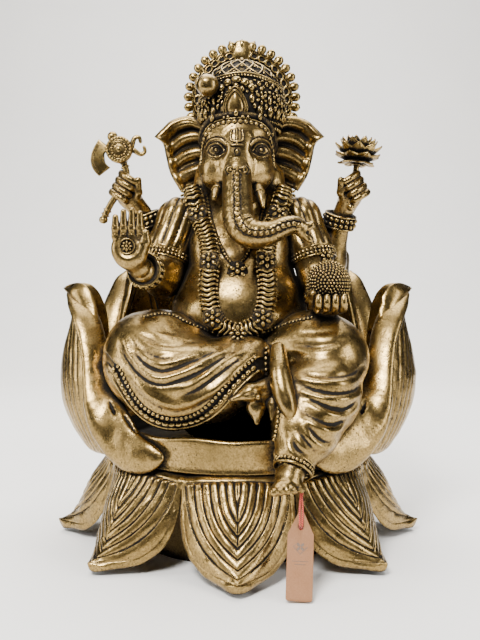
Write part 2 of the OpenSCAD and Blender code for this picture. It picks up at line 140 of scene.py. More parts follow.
def smooth_line(points, steps):
    """A smooth curve through the points, sampled evenly along its length."""
    points = np.asarray(points, float)
    ends = np.concatenate([[2 * points[0] - points[1]], points, [2 * points[-1] - points[-2]]])
    t = np.linspace(0, 1, 24, endpoint=False)[:, None]
    curve = []
    for a, b, c, d in zip(ends, ends[1:], ends[2:], ends[3:]):
        curve.append(0.5 * (2 * b + (c - a) * t + (2 * a - 5 * b + 4 * c - d) * t ** 2
                            + (3 * b - 3 * c + d - a) * t ** 3))
    curve = np.concatenate(curve + [points[-1:]])
    length = np.concatenate([[0], np.cumsum(np.linalg.norm(np.diff(curve[:, :3], axis=0), axis=1))])
    even = np.linspace(0, length[-1], steps)
    return np.stack([np.interp(even, length, column) for column in curve.T], 1)


def ball(place, radius, rings=8, sides=12):
    """A round bead; radius may be three half axes."""
    a = np.linspace(0, pi, rings + 1)[:, None]
    b = np.linspace(0, 2 * pi, sides, endpoint=False)[None, :]
    sphere = np.stack([np.sin(a) * np.cos(b), np.sin(a) * np.sin(b), np.cos(a) + 0 * b], -1)
    points = sphere.reshape(-1, 3) * radius + np.asarray(place, float)
    return points, [grid_quads(rings + 1, sides, closed_cols=True)]


def balls(places, radii, rings=6, sides=10):
    radii = np.broadcast_to(radii, len(places))
    return joined([ball(p, r, rings, sides) for p, r in zip(places, radii)])


def tube(line, radii, sides=12, flat=1.0, up=(0, 0, 1), caps=True):
    """A round or flattened tube along a line, with rounded ends."""
    line = np.asarray(line, float)
    radii = np.broadcast_to(np.asarray(radii, float), len(line)).copy()
    along = unit(np.gradient(line, axis=0))
    # The section is carried along the line without twisting
    side = np.cross(along, up)
    side[0] = side[0] if np.linalg.norm(side[0]) > 0.1 else np.cross(along[0], (0.3, 1, 0.2))
    for k in range(1, len(line)):
        if np.linalg.norm(side[k]) < 0.35 or side[k] @ side[k - 1] < 0:
            side[k] = side[k - 1] - along[k] * (side[k - 1] @ along[k])
    side = unit(side)
    top = np.cross(side, along)
    if caps:
        grow = np.array([0.0, 0.5, 0.85])
        back = 1 - np.sqrt(1 - grow ** 2)
        start = line[0] - along[0] * radii[0] * (1 - back[:, None])
        end = line[-1] + along[-1] * radii[-1] * (1 - back[::-1, None])
        line = np.concatenate([start, line, end])
        side = np.concatenate([side[:1]] * 3 + [side] + [side[-1:]] * 3)
        top = np.concatenate([top[:1]] * 3 + [top] + [top[-1:]] * 3)
        radii = np.concatenate([grow * radii[0], radii, grow[::-1] * radii[-1]])
    a = np.linspace(0, 2 * pi, sides, endpoint=False)[None, :, None]
    around = np.cos(a) * side[:, None] + flat * np.sin(a) * top[:, None]
    points = line[:, None] + radii[:, None, None] * around
    return points.reshape(-1, 3), [grid_quads(len(line), sides, closed_cols=True)]


# ---------------------------------------------------------------- sculpting
# A clay is a signed distance field on a grid of voxels, negative inside.

class Clay:
    def __init__(self, low, high, voxel):
        self.voxel = voxel
        self.low = np.asarray(low, float)
        count = np.ceil((np.asarray(high, float) - self.low) / voxel).astype(int) + 1
        self.axes = [(self.low[k] + voxel * np.arange(count[k])).astype(np.float32) for k in range(3)]
        self.field = np.full(count, 12.0, np.float32)

    def window(self, low, high):
        """The part of the field between two corners, and its coordinates."""
        cut = []
        for k in range(3):
            count = self.field.shape[k]
            first = int(np.clip(np.floor((low[k] - self.low[k]) / self.voxel), 0, count - 1))
            last = int(np.clip(np.ceil((high[k] - self.low[k]) / self.voxel) + 1, first + 1, count))
            cut.append(slice(first, last))
        x, y, z = (axis[c] for axis, c in zip(self.axes, cut))
        return tuple(cut), x[:, None, None], y[None, :, None], z[None, None, :]

    def blend(self, cut, distance, round_by):
        """Adds a form, with a fillet where it meets what is there."""
        here = self.field[cut]
        if round_by <= 0:
            self.field[cut] = np.minimum(here, distance)
            return
        h = np.maximum(round_by - np.abs(here - distance), 0) / round_by
        self.field[cut] = np.minimum(here, distance) - h * h * round_by * 0.25

    def carve(self, cut, distance, round_by):
        """Takes a form away, with a soft edge."""
        here = self.field[cut]
        h = np.maximum(round_by - np.abs(here + distance), 0) / max(round_by, 1e-6)
        self.field[cut] = np.maximum(here, -distance) + h * h * round_by * 0.25

    def blob(self, place, half, round_by=4.0, turn=None, cut_out=False):
        """A stretched ball with three half axes, turned by a matrix."""
        half = np.broadcast_to(np.asarray(half, np.float32), 3)
        reach = float(half.max()) + round_by + 2 * self.voxel
        place = np.asarray(place, np.float32)
        cut, x, y, z = self.window(place - reach, place + reach)
        x, y, z = x - place[0], y - place[1], z - place[2]
        if turn is not None:
            t = np.asarray(turn, np.float32).T
            x, y, z = (t[k, 0] * x + t[k, 1] * y + t[k, 2] * z for k in range(3))
        k0 = np.sqrt((x / half[0]) ** 2 + (y / half[1]) ** 2 + (z / half[2]) ** 2)
        k1 = np.sqrt((x / half[0] ** 2) ** 2 + (y / half[1] ** 2) ** 2 + (z / half[2] ** 2) ** 2)
        distance = k0 * (k0 - 1) / np.maximum(k1, 1e-6)
        (self.carve if cut_out else self.blend)(cut, distance, round_by)

    def limb(self, points, radii, round_by=4.0, flat=None, cut_out=False):
        """A run of tapered round lengths. flat is (direction, share): it thins the limb that way."""
        points = np.asarray(points, np.float32)
        radii = np.broadcast_to(np.asarray(radii, np.float32), len(points))
        for a, b, ra, rb in zip(points, points[1:], radii, radii[1:]):
            reach = max(ra, rb) + round_by + 2 * self.voxel
            cut, x, y, z = self.window(np.minimum(a, b) - reach, np.maximum(a, b) + reach)
            d = b - a
            px, py, pz = x - a[0], y - a[1], z - a[2]
            t = np.clip((px * d[0] + py * d[1] + pz * d[2]) / max(float(d @ d), 1e-6), 0, 1)
            qx, qy, qz = px - t * d[0], py - t * d[1], pz - t * d[2]
            if flat is not None:
                n, share = unit(flat[0]).astype(np.float32), flat[1]
                lift = (qx * n[0] + qy * n[1] + qz * n[2]) * (1 / share - 1)
                qx, qy, qz = qx + lift * n[0], qy + lift * n[1], qz + lift * n[2]
            distance = np.sqrt(qx ** 2 + qy ** 2 + qz ** 2) - (ra + (rb - ra) * t)
            (self.carve if cut_out else self.blend)(cut, distance, round_by)

    def below(self, height, round_by=1.0):
        """Cuts away everything under a height."""
        above = np.broadcast_to(self.axes[2][None, None, :] - height, self.field.shape)
        self.carve((slice(None),) * 3, above, round_by)

    def surface(self):
        grid = openvdb.FloatGrid(12.0)
        grid.copyFromArray(self.field)
        points, quads = grid.convertToQuads(0.0)
        points = points.astype(float) * self.voxel + self.low
        return outwards((points, [quads.astype(np.int64)]))


def triangles(faces):
    parts = []
    for f in faces:
        parts.append(f[:, :3])
        if f.shape[1] == 4:
            parts.append(f[:, [0, 2, 3]])
    return np.concatenate(parts)


def normals(points, faces):
    tri = triangles(faces)
    a, b, c = points[tri[:, 0]], points[tri[:, 1]], points[tri[:, 2]]
    n = np.cross(b - a, c - a)
    out = np.zeros_like(points)
    for corner in range(3):
        for axis in range(3):
            out[:, axis] += np.bincount(tri[:, corner], n[:, axis], len(points))
    return unit(out)


def outwards(shape):
    """The same shape with its faces turned so that it encloses a positive volume."""
    points, faces = shape
    tri = triangles(faces)
    a, b, c = points[tri[:, 0]], points[tri[:, 1]], points[tri[:, 2]]
    if np.einsum("ij,ij->i", a, np.cross(b, c)).sum() < 0:
        faces = [f[:, ::-1] for f in faces]
    return points, faces


def edges_of(faces):
    pairs = np.concatenate([np.stack([f, np.roll(f, -1, 1)], -1).reshape(-1, 2) for f in faces])
    return np.unique(np.sort(pairs, 1), axis=0)


def relaxed(points, edges, passes):
    """Points moved towards the mean of their neighbours, some passes over."""
    a, b = edges[:, 0], edges[:, 1]
    count = np.bincount(a, minlength=len(points)) + np.bincount(b, minlength=len(points))
    count = np.maximum(count, 1)[:, None]
    for _ in range(passes):
        total = np.zeros_like(points)
        for axis in range(points.shape[1]):
            total[:, axis] = (np.bincount(a, points[b, axis], len(points))
                              + np.bincount(b, points[a, axis], len(points)))
        points = 0.4 * points + 0.6 * total / count
    return points


def hollows(points, faces, passes=10):
    """How far each point lies below its surroundings, in millimetres."""
    around = relaxed(points, edges_of(faces), passes)
    return np.einsum("ij,ij->i", around - points, normals(points, faces))


def noise(points, scale, seed=0):
    """Smooth noise from -1 to 1 with features of about scale millimetres."""
    rng = np.random.RandomState(seed)
    total = np.zeros(len(points))
    for octave in range(5):
        direction = unit(rng.normal(size=3))
        across = unit(rng.normal(size=3))
        p = points * (2 * pi / scale) * (0.7 + 0.25 * octave)
        total += np.sin(p @ direction + 1.3 * np.sin(p @ across * 0.7 + rng.rand() * 6)) / 5
    return total


def pressed(shape, height):
    """The shape with each point moved along its normal by height(points, normals)."""
    points, faces = shape
    n = normals(points, faces)
    return points + n * height(points, n)[:, None], faces


# ---------------------------------------------------------------- pieces

def piece(name, shape, material, replaces=(), body=IDOL,
          with_hollows=True, patina_and_shade=None):
    """Makes one Blender object of a shape in millimetres and puts it on its body.
    The extra darkening given per point is added to how deep each point lies; inside the bowl and low on the
    torso it is painted shade."""
    points, faces = shape
    mesh = bpy.data.meshes.new(name)
    mesh.vertices.add(len(points))
    mesh.vertices.foreach_set("co", (points * MM).astype(np.float32).ravel())
    sizes = np.concatenate([np.full(len(f), f.shape[1]) for f in faces])
    corners = np.concatenate([f.ravel() for f in faces])
    mesh.loops.add(len(corners))
    mesh.loops.foreach_set("vertex_index", corners.astype(np.int32))
    mesh.polygons.add(len(sizes))
    starts = np.concatenate([[0], np.cumsum(sizes)[:-1]])
    mesh.polygons.foreach_set("loop_start", starts.astype(np.int32))
    mesh.polygons.foreach_set("use_smooth", np.ones(len(sizes), bool))
    mesh.update(calc_edges=True)
    mesh.validate()
    if with_hollows:
        # How deep each point lies, plus the extra darkening: painted shade where that is given
        depth = mesh.attributes.new("hollow", "FLOAT", "POINT")
        values = hollows(points, faces)
        if patina_and_shade is not None:
            values = values + patina_and_shade(points)
        depth.data.foreach_set("value", values.astype(np.float32))
    mesh.materials.append(material)
    thing = bpy.data.objects.new(name, mesh)
    bpy.context.scene.collection.objects.link(thing)
    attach(thing, body)
    if replaces:
        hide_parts(*replaces)
    return thing


# ---------------------------------------------------------------- materials

def new_material(name):
    material = bpy.data.materials.new(name)
    material.use_nodes = True
    tree = material.node_tree
    return material, tree, tree.nodes["Principled BSDF"]


def add(tree, kind, inputs=None, **settings):
    node = tree.nodes.new(kind)
    for key, value in settings.items():
        setattr(node, key, value)
    for key, value in (inputs or {}).items():
        if isinstance(value, bpy.types.NodeSocket):
            tree.links.new(value, node.inputs[key])
        else:
            node.inputs[key].default_value = value
    return node


def maths(tree, operation, a, b=0.0, clamp=False):
    return add(tree, "ShaderNodeMath", {0: a, 1: b}, operation=operation, use_clamp=clamp).outputs[0]


def ramp(tree, value, stops):
    node = add(tree, "ShaderNodeValToRGB", {"Fac": value})
    elements = node.color_ramp.elements
    while len(elements) < len(stops):
        elements.new(0.5)
    for element, (place, colour) in zip(elements, stops):
        element.position = place
        element.color = (*colour, 1) if isinstance(colour, tuple) else (colour, colour, colour, 1)
    return node.outputs["Color"]


def colour_mix(tree, share, a, b, blend="MIX"):
    node = add(tree, "ShaderNodeMix", {0: share}, data_type="RGBA", blend_type=blend)
    for socket, value in ((node.inputs[6], a), (node.inputs[7], b)):
        if isinstance(value, bpy.types.NodeSocket):
            tree.links.new(value, socket)
        else:
            socket.default_value = (*value, 1)
    return node.outputs[2]


def grain_of(tree, scale, detail=2.0, rough=0.5):
    """Smooth noise in the piece's own space, from 0 to 1."""
    place = add(tree, "ShaderNodeTexCoord").outputs["Object"]
    settings = {"Vector": place, "Scale": scale, "Detail": detail, "Roughness": rough}
    return add(tree, "ShaderNodeTexNoise", settings).outputs["Fac"]


def feed(tree, shader, socket, output):
    tree.links.new(output, shader.inputs[socket])


def feed_bump(tree, shader, height, strength, distance):
    bump = add(tree, "ShaderNodeBump", {"Height": height, "Strength": strength, "Distance": distance})
    feed(tree, shader, "Normal", bump.outputs["Normal"])


def mixed(tree, a, b, share):
    """Two values added, a weighted by 1 - share and b by share."""
    return maths(tree, "ADD", maths(tree, "MULTIPLY", a, 1 - share), maths(tree, "MULTIPLY", b, share))


def added(tree, total, value, times, less=0.5):
    """total + (value - less) * times"""
    return maths(tree, "ADD", total, maths(tree, "MULTIPLY", maths(tree, "SUBTRACT", value, less), times))


def brass(name, gold=(0.355, 0.238, 0.083), patina=(0.010, 0.008, 0.006),
          polish=0.24, depth=1.0, pits=1.0, patina_and_shade=0.0):
    """Antique brass: polished where it stands proud, near black where it lies deep."""
    material, tree, shader = new_material(name)
    broad, middle = grain_of(tree, 32.0, 4.0, 0.55), grain_of(tree, 170.0, 4.0, 0.55)
    fine, grain = grain_of(tree, 800.0, 4.0, 0.65), grain_of(tree, 2600.0, 2.0, 0.55)
    # Patina gathers in hollows, and in corners between castings; in the corners the occlusion term is
    # painted shade as well as patina
    hollow = add(tree, "ShaderNodeAttribute", attribute_name="hollow").outputs["Fac"]
    ao_shade = add(tree, "ShaderNodeAmbientOcclusion", {"Distance": 0.007}, samples=8).outputs["AO"]
    low = maths(tree, "MAXIMUM", maths(tree, "MULTIPLY", hollow, 5.5 * depth), -0.22)
    painted_corner_shade = maths(tree, "MULTIPLY", maths(tree, "SUBTRACT", 0.86, ao_shade), 2.6 * depth)
    # Adds each material's own darkening: blackening on the blackened brass, painted shade on the foot
    # ring's brass
    dirt_and_shade = maths(tree, "ADD", maths(tree, "ADD", low, painted_corner_shade), patina_and_shade)
    dirt_and_shade = added(tree, added(tree, dirt_and_shade, middle, 1.1), fine, 1.5)
    # Casting pits: small dark specks in loose groups
    place = add(tree, "ShaderNodeTexCoord").outputs["Object"]
    cells = add(tree, "ShaderNodeTexVoronoi", {"Vector": place, "Scale": 430.0, "Randomness": 1.0})
    speck = ramp(tree, cells.outputs["Distance"], [(0.12, 1.0), (0.24, 0.0)])
    groups = ramp(tree, grain_of(tree, 75.0, 2.0, 0.55), [(0.46, 0.0), (0.58, 1.0)])
    specks = maths(tree, "MULTIPLY", maths(tree, "MULTIPLY", speck, groups), pits)
    dark = maths(tree, "MAXIMUM", ramp(tree, dirt_and_shade, [(0.16, 0.0), (0.78, 1.0)]), specks)
    # The polished metal itself varies from pale gold to brown, with a fine mottle
    tone = ramp(tree, broad, [(0.30, tuple(c * 0.70 for c in gold)), (0.52, gold),
                              (0.76, tuple(min(1.0, c * 1.22 + 0.02) for c in gold))])
    mottle = mixed(tree, fine, grain, 0.4)
    spots = ramp(tree, mottle, [(0.44, 0.0), (0.60, 0.85)])
    tone = colour_mix(tree, spots, tone, tuple(c * 0.34 for c in gold))
    # The brown stain follows the noise and also the darkening above, so it carries some painted shade
    stain_and_shade = maths(tree, "ADD", middle, maths(tree, "MULTIPLY", dirt_and_shade, 0.5))
    stain_and_shade = ramp(tree, stain_and_shade, [(0.50, 0.0), (0.95, 0.8)])
    tone = colour_mix(tree, stain_and_shade, tone, (0.16, 0.10, 0.045))
    feed(tree, shader, "Base Color", colour_mix(tree, dark, tone, patina))
    feed(tree, shader, "Metallic", maths(tree, "SUBTRACT", 1.0, maths(tree, "MULTIPLY", dark, 0.6)))
    roughness = added(tree, added(tree, polish, middle, 0.22), dark, 0.35, 0.0)
    mottled = maths(tree, "MULTIPLY", mottle, 0.10)
    feed(tree, shader, "Roughness", maths(tree, "ADD", roughness, mottled, True))
    shader.inputs["Specular IOR Level"].default_value = 0.2
    # Hand finishing leaves soft unevenness and a fine grain
    relief = maths(tree, "ADD", maths(tree, "MULTIPLY", middle, 0.7), maths(tree, "MULTIPLY", fine, 0.30))
    relief = maths(tree, "SUBTRACT", relief, maths(tree, "MULTIPLY", specks, 0.4))
    feed_bump(tree, shader, relief, 0.45, 0.0006)
    return material


def card():
    """Pinkish kraft card with a fine fibre grain."""
    material, tree, shader = new_material("tag_card")
    fibre, broad = grain_of(tree, 1400.0, 4.0), grain_of(tree, 120.0)
    colours = [(0.3, (0.25, 0.12, 0.058)), (0.7, (0.33, 0.17, 0.09))]
    feed(tree, shader, "Base Color", ramp(tree, mixed(tree, fibre, broad, 0.4), colours))
    feed(tree, shader, "Roughness", ramp(tree, broad, [(0.3, 0.78), (0.7, 0.9)]))
    shader.inputs["Specular IOR Level"].default_value = 0.1
    feed_bump(tree, shader, fibre, 0.3, 0.0001)
    return material


def ink():
    material, tree, shader = new_material("tag_ink")
    colours = [(0.3, (0.10, 0.07, 0.05)), (0.8, (0.22, 0.15, 0.11))]
    feed(tree, shader, "Base Color", ramp(tree, grain_of(tree, 2500.0), colours))
    shader.inputs["Roughness"].default_value = 0.7
    return material


def thread():
    """Twisted red cotton: dark lines of painted shade wind round it where the plies meet."""
    material, tree, shader = new_material("red_thread")
    place = add(tree, "ShaderNodeTexCoord").outputs["Object"]
    twist = {"Vector": place, "Scale": 420.0, "Distortion": 1.5, "Detail": 2.0}
    plies = add(tree, "ShaderNodeTexWave", twist, bands_direction="DIAGONAL").outputs["Fac"]
    # The dark red is painted shade in the grooves between the plies
    colours = [(0.2, (0.22, 0.015, 0.01)), (0.7, (0.62, 0.07, 0.035))]
    feed(tree, shader, "Base Color", ramp(tree, mixed(tree, plies, grain_of(tree, 3000.0), 0.3), colours))
    shader.inputs["Roughness"].default_value = 0.8
    shader.inputs["Sheen Weight"].default_value = 0.3
    feed_bump(tree, shader, plies, 0.6, 0.0002)
    return material


def plated_steel():
    material, tree, shader = new_material("zinc_steel")
    spangle = grain_of(tree, 300.0, 5.0)
    colours = [(0.3, (0.42, 0.43, 0.45)), (0.7, (0.62, 0.62, 0.60))]
    feed(tree, shader, "Base Color", ramp(tree, spangle, colours))
    shader.inputs["Metallic"].default_value = 1.0
    feed(tree, shader, "Roughness", ramp(tree, spangle, [(0.3, 0.3), (0.7, 0.5)]))
    feed_bump(tree, shader, spangle, 0.2, 0.0002)
    return material


def floor_paper():
    """Matt pale studio paper."""
    material, tree, shader = new_material("floor_paper")
    colours = [(0.3, (0.875, 0.86, 0.835)), (0.7, (0.895, 0.88, 0.855))]
    feed(tree, shader, "Base Color", ramp(tree, grain_of(tree, 9.0, 6.0), colours))
    shader.inputs["Roughness"].default_value = 0.9
    return material


ANTIQUE = brass("antique_brass")
PATINATED = brass("patinated_brass", gold=(0.435, 0.298, 0.102), polish=0.22, depth=1.6, pits=0.4)
BLACKENED = brass("blackened_brass", gold=(0.40, 0.27, 0.09), polish=0.35, depth=1.3, pits=0.3, patina_and_shade=1.3)
# The foot ring's brass is made dark all over: painted shade for the shadow that lies under the drooping
# petals
FOOT_RING_PAINTED_SHADE = brass("cast_brass_dark", gold=(0.16, 0.11, 0.045), polish=0.5, depth=1.0, pits=1.0, patina_and_shade=0.35)
CARD, INK, THREAD, STEEL = card(), ink(), thread(), plated_steel()


# ---------------------------------------------------------------- camera, light and floor

def add_camera():
    """The eye stands about half a metre off, at chest height, and looks down a little."""
    camera = bpy.data.objects.new("camera", bpy.data.cameras.new("camera"))
    camera.location = (0.0013, -0.526, 0.1678)
    camera.rotation_euler = (math.radians(90 - 2.98), 0, 0)
    camera.data.lens = 45
    camera.data.clip_start = 0.01
    bpy.context.scene.collection.objects.link(camera)
    bpy.context.scene.camera = camera


def add_light(name, place, aim, size, power, colour=(1, 1, 1), tall=None):
    data = bpy.data.lights.new(name, "AREA")
    data.energy = power
    data.color = colour
    data.size = size
    if tall:
        data.shape = "RECTANGLE"
        data.size_y = tall
    light = bpy.data.objects.new(name, data)
    light.location = place
    direction = np.array(aim, float) - np.array(place, float)
    x = unit(np.cross(direction, (0, 0, 1)))
    z = -unit(direction)
    light.matrix_world = mathutils.Matrix.Translation(place) @ mathutils.Matrix(
        np.stack([x, np.cross(z, x), z], 1).tolist()).to_4x4()
    bpy.context.scene.collection.objects.link(light)


def add_studio():
    world = bpy.data.worlds.new("studio")
    world.use_nodes = True
    world.node_tree.nodes["Background"].inputs["Color"].default_value = (0.80, 0.78, 0.75, 1)
    world.node_tree.nodes["Background"].inputs["Strength"].default_value = 0.045
    bpy.context.scene.world = world
    # A floor that curves up into a wall behind
    a = np.linspace(0, pi / 2, 16)
    bend = [(0.8 + 0.8 * math.sin(t), 0.8 - 0.8 * math.cos(t)) for t in a[1:]]
    rise = [(-0.35, 0), (0.8, 0)] + bend + [(1.6, 3.0)]
    points = np.array([(x, y, z) for y, z in rise for x in (-0.95, 0.95)]) / MM
    mesh = bpy.data.meshes.new("floor")
    quads = [tuple(int(i) for i in q) for q in grid_quads(len(rise), 2)]
    mesh.from_pydata((points * MM).tolist(), [], quads)
    mesh.polygons.foreach_set("use_smooth", [True] * len(mesh.polygons))
    mesh.materials.append(floor_paper())
    floor = bpy.data.objects.new("floor", mesh)
    bpy.context.scene.collection.objects.link(floor)
    aim = (0, 0, 0.15)
    add_light("key", (-0.30, -0.80, 0.95), aim, 0.36, 27, (1.0, 0.985, 0.955))
    add_light("right", (0.95, -0.55, 0.45), aim, 0.24, 8, (1.0, 0.985, 0.96), 0.8)
    add_light("left", (-1.0, -0.30, 0.45), aim, 0.24, 7, (1.0, 0.985, 0.96), 0.8)
    add_light("top", (0.05, 0.30, 1.35), aim, 1.1, 30, (1.0, 0.99, 0.97))
    add_light("wall", (0.0, 0.45, 1.25), (0, 1.6, 0.55), 1.2, 26, (1.0, 0.985, 0.96))


# ---------------------------------------------------------------- lotus base

def petal_frame(rows, steps, side):
    """The face of a petal: rows are [radius, height, half width, bend, thickness], root to tip.
    side is -1 for a lower petal, whose face is its upper side, and 1 for a throne petal."""
    line = smooth_line(rows, steps)
    # Length counts along radius and height only
    step = np.linalg.norm(np.diff(line[:, :2], axis=0), axis=1)
    length = np.concatenate([[0], np.cumsum(step)])
    slope = unit(np.gradient(line[:, :2], axis=0))
    normal = side * np.stack([slope[:, 1], -slope[:, 0]], 1)
    return line, length, normal


def petal_shape(rows, side, relief, steps=150, face_points=130, back_points=50, round_tip=3.0, rim=-0.35):
    """A closed petal along +X. relief(length, across, face) gives how far the surface stands out,
    where face is 1 on the petal's face and -1 on its back. rim thickens or thins its edges."""
    line, length, normal = petal_frame(rows, steps, side)
    # The width closes to a rounded tip
    left = np.clip((length[-1] - length) / round_tip, 0, 1)
    half = line[:, 2] * np.sqrt(np.maximum(1 - (1 - left) ** 2, 0.0004))
    thick = line[:, 4] * np.sqrt(np.maximum(1 - (1 - left) ** 2, 0.01))
    # Points stand evenly across the face, and closer round the edges
    half_turn = [np.linspace(0, pi, count, endpoint=False) for count in (face_points, back_points)]
    even = np.concatenate([1 - 2 * half_turn[0] / pi, -1 + 2 * half_turn[1] / pi])
    round_edge = np.concatenate([np.cos(half_turn[0]), -np.cos(half_turn[1])])
    s = (0.75 * even + 0.25 * round_edge)[None, :]
    sign = np.concatenate([np.ones(face_points), -np.ones(back_points)])
    over = sign * np.maximum(1 - s[0] ** 2, 0) ** 0.28
    bend = line[:, 3:4] * s ** 2
    back, down = (1.0, 0.0) if side > 0 else (0.8, 0.38)
    lift = thick[:, None] * (0.5 * over[None, :] - 0.5) * (1 + rim * s ** 4)
    stand = relief(length[:, None], half[:, None] * s, sign[None, :] + 0 * length[:, None])
    lift = lift + stand * over[None, :]
    x = line[:, :1] + normal[:, :1] * lift - bend * back
    z = line[:, 1:2] + normal[:, 1:2] * lift - bend * down
    points = np.stack([x, half[:, None] * s, z], -1)
    around = face_points + back_points
    count = steps * around
    ends = np.stack([points[0].mean(0), points[-1].mean(0)])
    j = np.arange(around)
    nj = (j + 1) % around
    root = np.stack([j, nj, np.full(around, count)], 1)
    tip = np.stack([(steps - 1) * around + nj, (steps - 1) * around + j, np.full(around, count + 1)], 1)
    quads = grid_quads(steps, around, closed_cols=True)
    return outwards((np.concatenate([points.reshape(-1, 3), ends]), [quads, root, tip]))


def petal_outline(rows, steps=160):
    """Half the outline of a petal laid flat, as points of (length, across) from root to tip."""
    line, length, _ = petal_frame(rows, steps, 1)
    return np.stack([np.append(length, length[-1] + 1), np.append(line[:, 2], 0)], 1)


def pointed_outline(half, long, power=2.5, steps=160):
    """A panel with straight sides at its root, whose sides run to a point at its end."""
    along = np.linspace(0, long, steps)
    return np.stack([along, half * (1 - (along / long) ** power)], 1)


def depth_in(outline):
    """A function that says how deep (length, across) lies inside an outline."""
    def depth(at_length, at_across):
        shape = np.broadcast(at_length, at_across).shape
        p = np.stack([np.broadcast_to(at_length, shape).ravel(),
                      np.abs(np.broadcast_to(at_across, shape)).ravel()], 1)
        near = np.full(len(p), 1e9)
        for q in outline:
            near = np.minimum(near, (p[:, 0] - q[0]) ** 2 + (p[:, 1] - q[1]) ** 2)
        inside = p[:, 1] < np.interp(p[:, 0], outline[:, 0], outline[:, 1], right=0)
        return np.where(inside, 1, -1).reshape(shape) * np.sqrt(near).reshape(shape)
    return depth


def groove(distance, width):
    return np.exp(-(distance / width) ** 2)


def lower_petal_rows():
    low, high = node_box("lower_petal_front")
    reach = -low[1]
    half = (high[0] - low[0]) / 2 + 1.5
    return [[67.5, 56, 28, 2, 5], [79, 55.8, 33, 4, 5], [86, 51.5, half - 0.5, 9, 5.5],
            [91.5, 45, half, 14, 6], [96.5, 38, half, 17, 6], [101, 29, half - 1.5, 18, 6],
            [105, 20.5, 27, 16, 6.5], [109.5, 13, 20, 12, 7], [114.5, 9, 9.5, 4.5, 6.5],
            [reach, 8, 1.5, 0.3, 5]]


def make_lower_petals():
    """Drooping petals: a smooth thick rim round a fluted panel that comes to a point."""
    rows = lower_petal_rows()
    rim_line = petal_outline(rows)
    long = rim_line[-1, 0]
    panel = depth_in(pointed_outline(0.88 * rim_line[:, 1].max(), long - 7.0, 3.6))
    rim = depth_in(rim_line)
    pitch = 4.5
    shoulder = 15.5

    def relief(along, across, face):
        depth = panel(along, across)
        edge = rim(along, across)
        # Rounded flutes between sharp grooves, and a last groove down the middle
        starts = np.clip((along - shoulder) / 2.0, 0, 1)
        place = np.mod(np.maximum(depth, 0) + pitch / 2, pitch) - pitch / 2
        arch = 1 - (2 * np.abs(np.abs(place) - pitch / 2) / pitch) ** 2
        flutes = 0.55 * arch - 0.95 * groove(place, 0.42)
        middle = groove(across, 0.45) * (along < long * 0.66)
        middle = middle + groove(np.hypot(across, along - long * 0.67), 0.9)
        stand = starts * np.where(depth > -0.8, flutes - 0.9 * middle * (depth > 0), 0)
        # The ledge where the flutes begin, with a square end to each flute
        stand = stand - 0.7 * groove(along - shoulder, 0.7) * (depth > 0)
        stand = stand + 0.7 * groove(along - shoulder - 3.2, 1.9) * (depth > 0) * (np.abs(place) > 0.9)
        # A fine line near the rim, and a soft roll outside it
        stand = stand - 0.5 * groove(edge - 2.4, 0.4) * (along > 26)
        stand = stand + 0.7 * groove(edge - 5.5, 2.6) * (depth < 0)
        return np.where(face > 0, stand, -0.3 * groove(edge - 4, 0.8))

    form = petal_shape(rows, -1, relief, steps=190, face_points=180, back_points=50)
    names = ["front", "front_left", "left", "rear_left", "rear", "rear_right", "right", "front_right"]
    for number, name in enumerate(names):
        points, faces = form
        points = points + 0.35 * normals(points, faces) * noise(points + 40 * number, 16, number)[:, None]
        turned = moved((points, faces), turn_z(45 * number - 90))
        piece("petal_lower_" + name, turned, ANTIQUE, ["lower_petal_" + name])


def throne_rows(node):
    top = node_box(node)[1][2]
    rise = top - 50
    return [[79, 59, 31, 6, 6], [88, 57, 36, 9, 7], [99, 58.5, 38.5, 16, 7],
            [109, 50 + rise * 0.2, 37.5, 20, 7], [115, 50 + rise * 0.33, 35, 21.5, 7],
            [117, 50 + rise * 0.48, 32, 21, 7], [114.5, 50 + rise * 0.64, 27.5, 18, 7.5],
            [110.5, 50 + rise * 0.78, 21.5, 12.5, 8.5], [109, 50 + rise * 0.88, 16.5, 8, 9.5],
            [111, 50 + rise * 0.95, 12.5, 5, 9.5], [114.5, top - 0.5, 7, 2, 7]]


def make_throne_petals():
    """Tall cupped petals: lines follow the margin outside, and a smooth rim stands round the inside."""
    angles = {"left": 0, "rear_left": 45, "rear": 90, "rear_right": 135, "right": 180}
    for number, (name, angle) in enumerate(angles.items()):
        rows = throne_rows("throne_petal_" + name)
        edge = depth_in(petal_outline(rows))

        def relief(along, across, face):
            depth = edge(along, across)
            lines = sum(groove(depth - d, 0.55) for d in (5.5, 9.0, 12.5, 16.0))
            centre_line = groove(across, 0.6) * (along > 30) * (along < 100)
            outer = -0.8 * lines * (along > 22) - 0.5 * centre_line
            inner = 2.0 * groove(depth - 4.5, 3.6) - 1.2 * groove(depth - 10.5, 0.7)
            inner = inner - 0.8 * groove(depth - 14, 0.6)
            return np.where(face > 0, outer, inner)

        points, faces = petal_shape(rows, 1, relief, steps=150, face_points=120, back_points=90,
                                    round_tip=6.0, rim=0.7)
        uneven = noise(points + 70 * number, 22, 30 + number)
        points = points + 0.4 * normals(points, faces) * uneven[:, None]
        shape = moved((points, faces), turn_z(angle))
        way = -1 if name.endswith("right") else 1
        if name in ("left", "right"):
            shape = joined([shape, petal_root(way)])
        if name in ("rear_left", "rear_right"):
            band = smooth_line(REAR_MARGIN, 30) * [way, 1, 1, 1]
            shape = joined([shape, tube(band[:, :3], band[:, 3], 20, 0.42, (way * 0.25, -0.95, 0.1))])
        piece("petal_throne_" + name, shape, ANTIQUE, ["throne_petal_" + name])


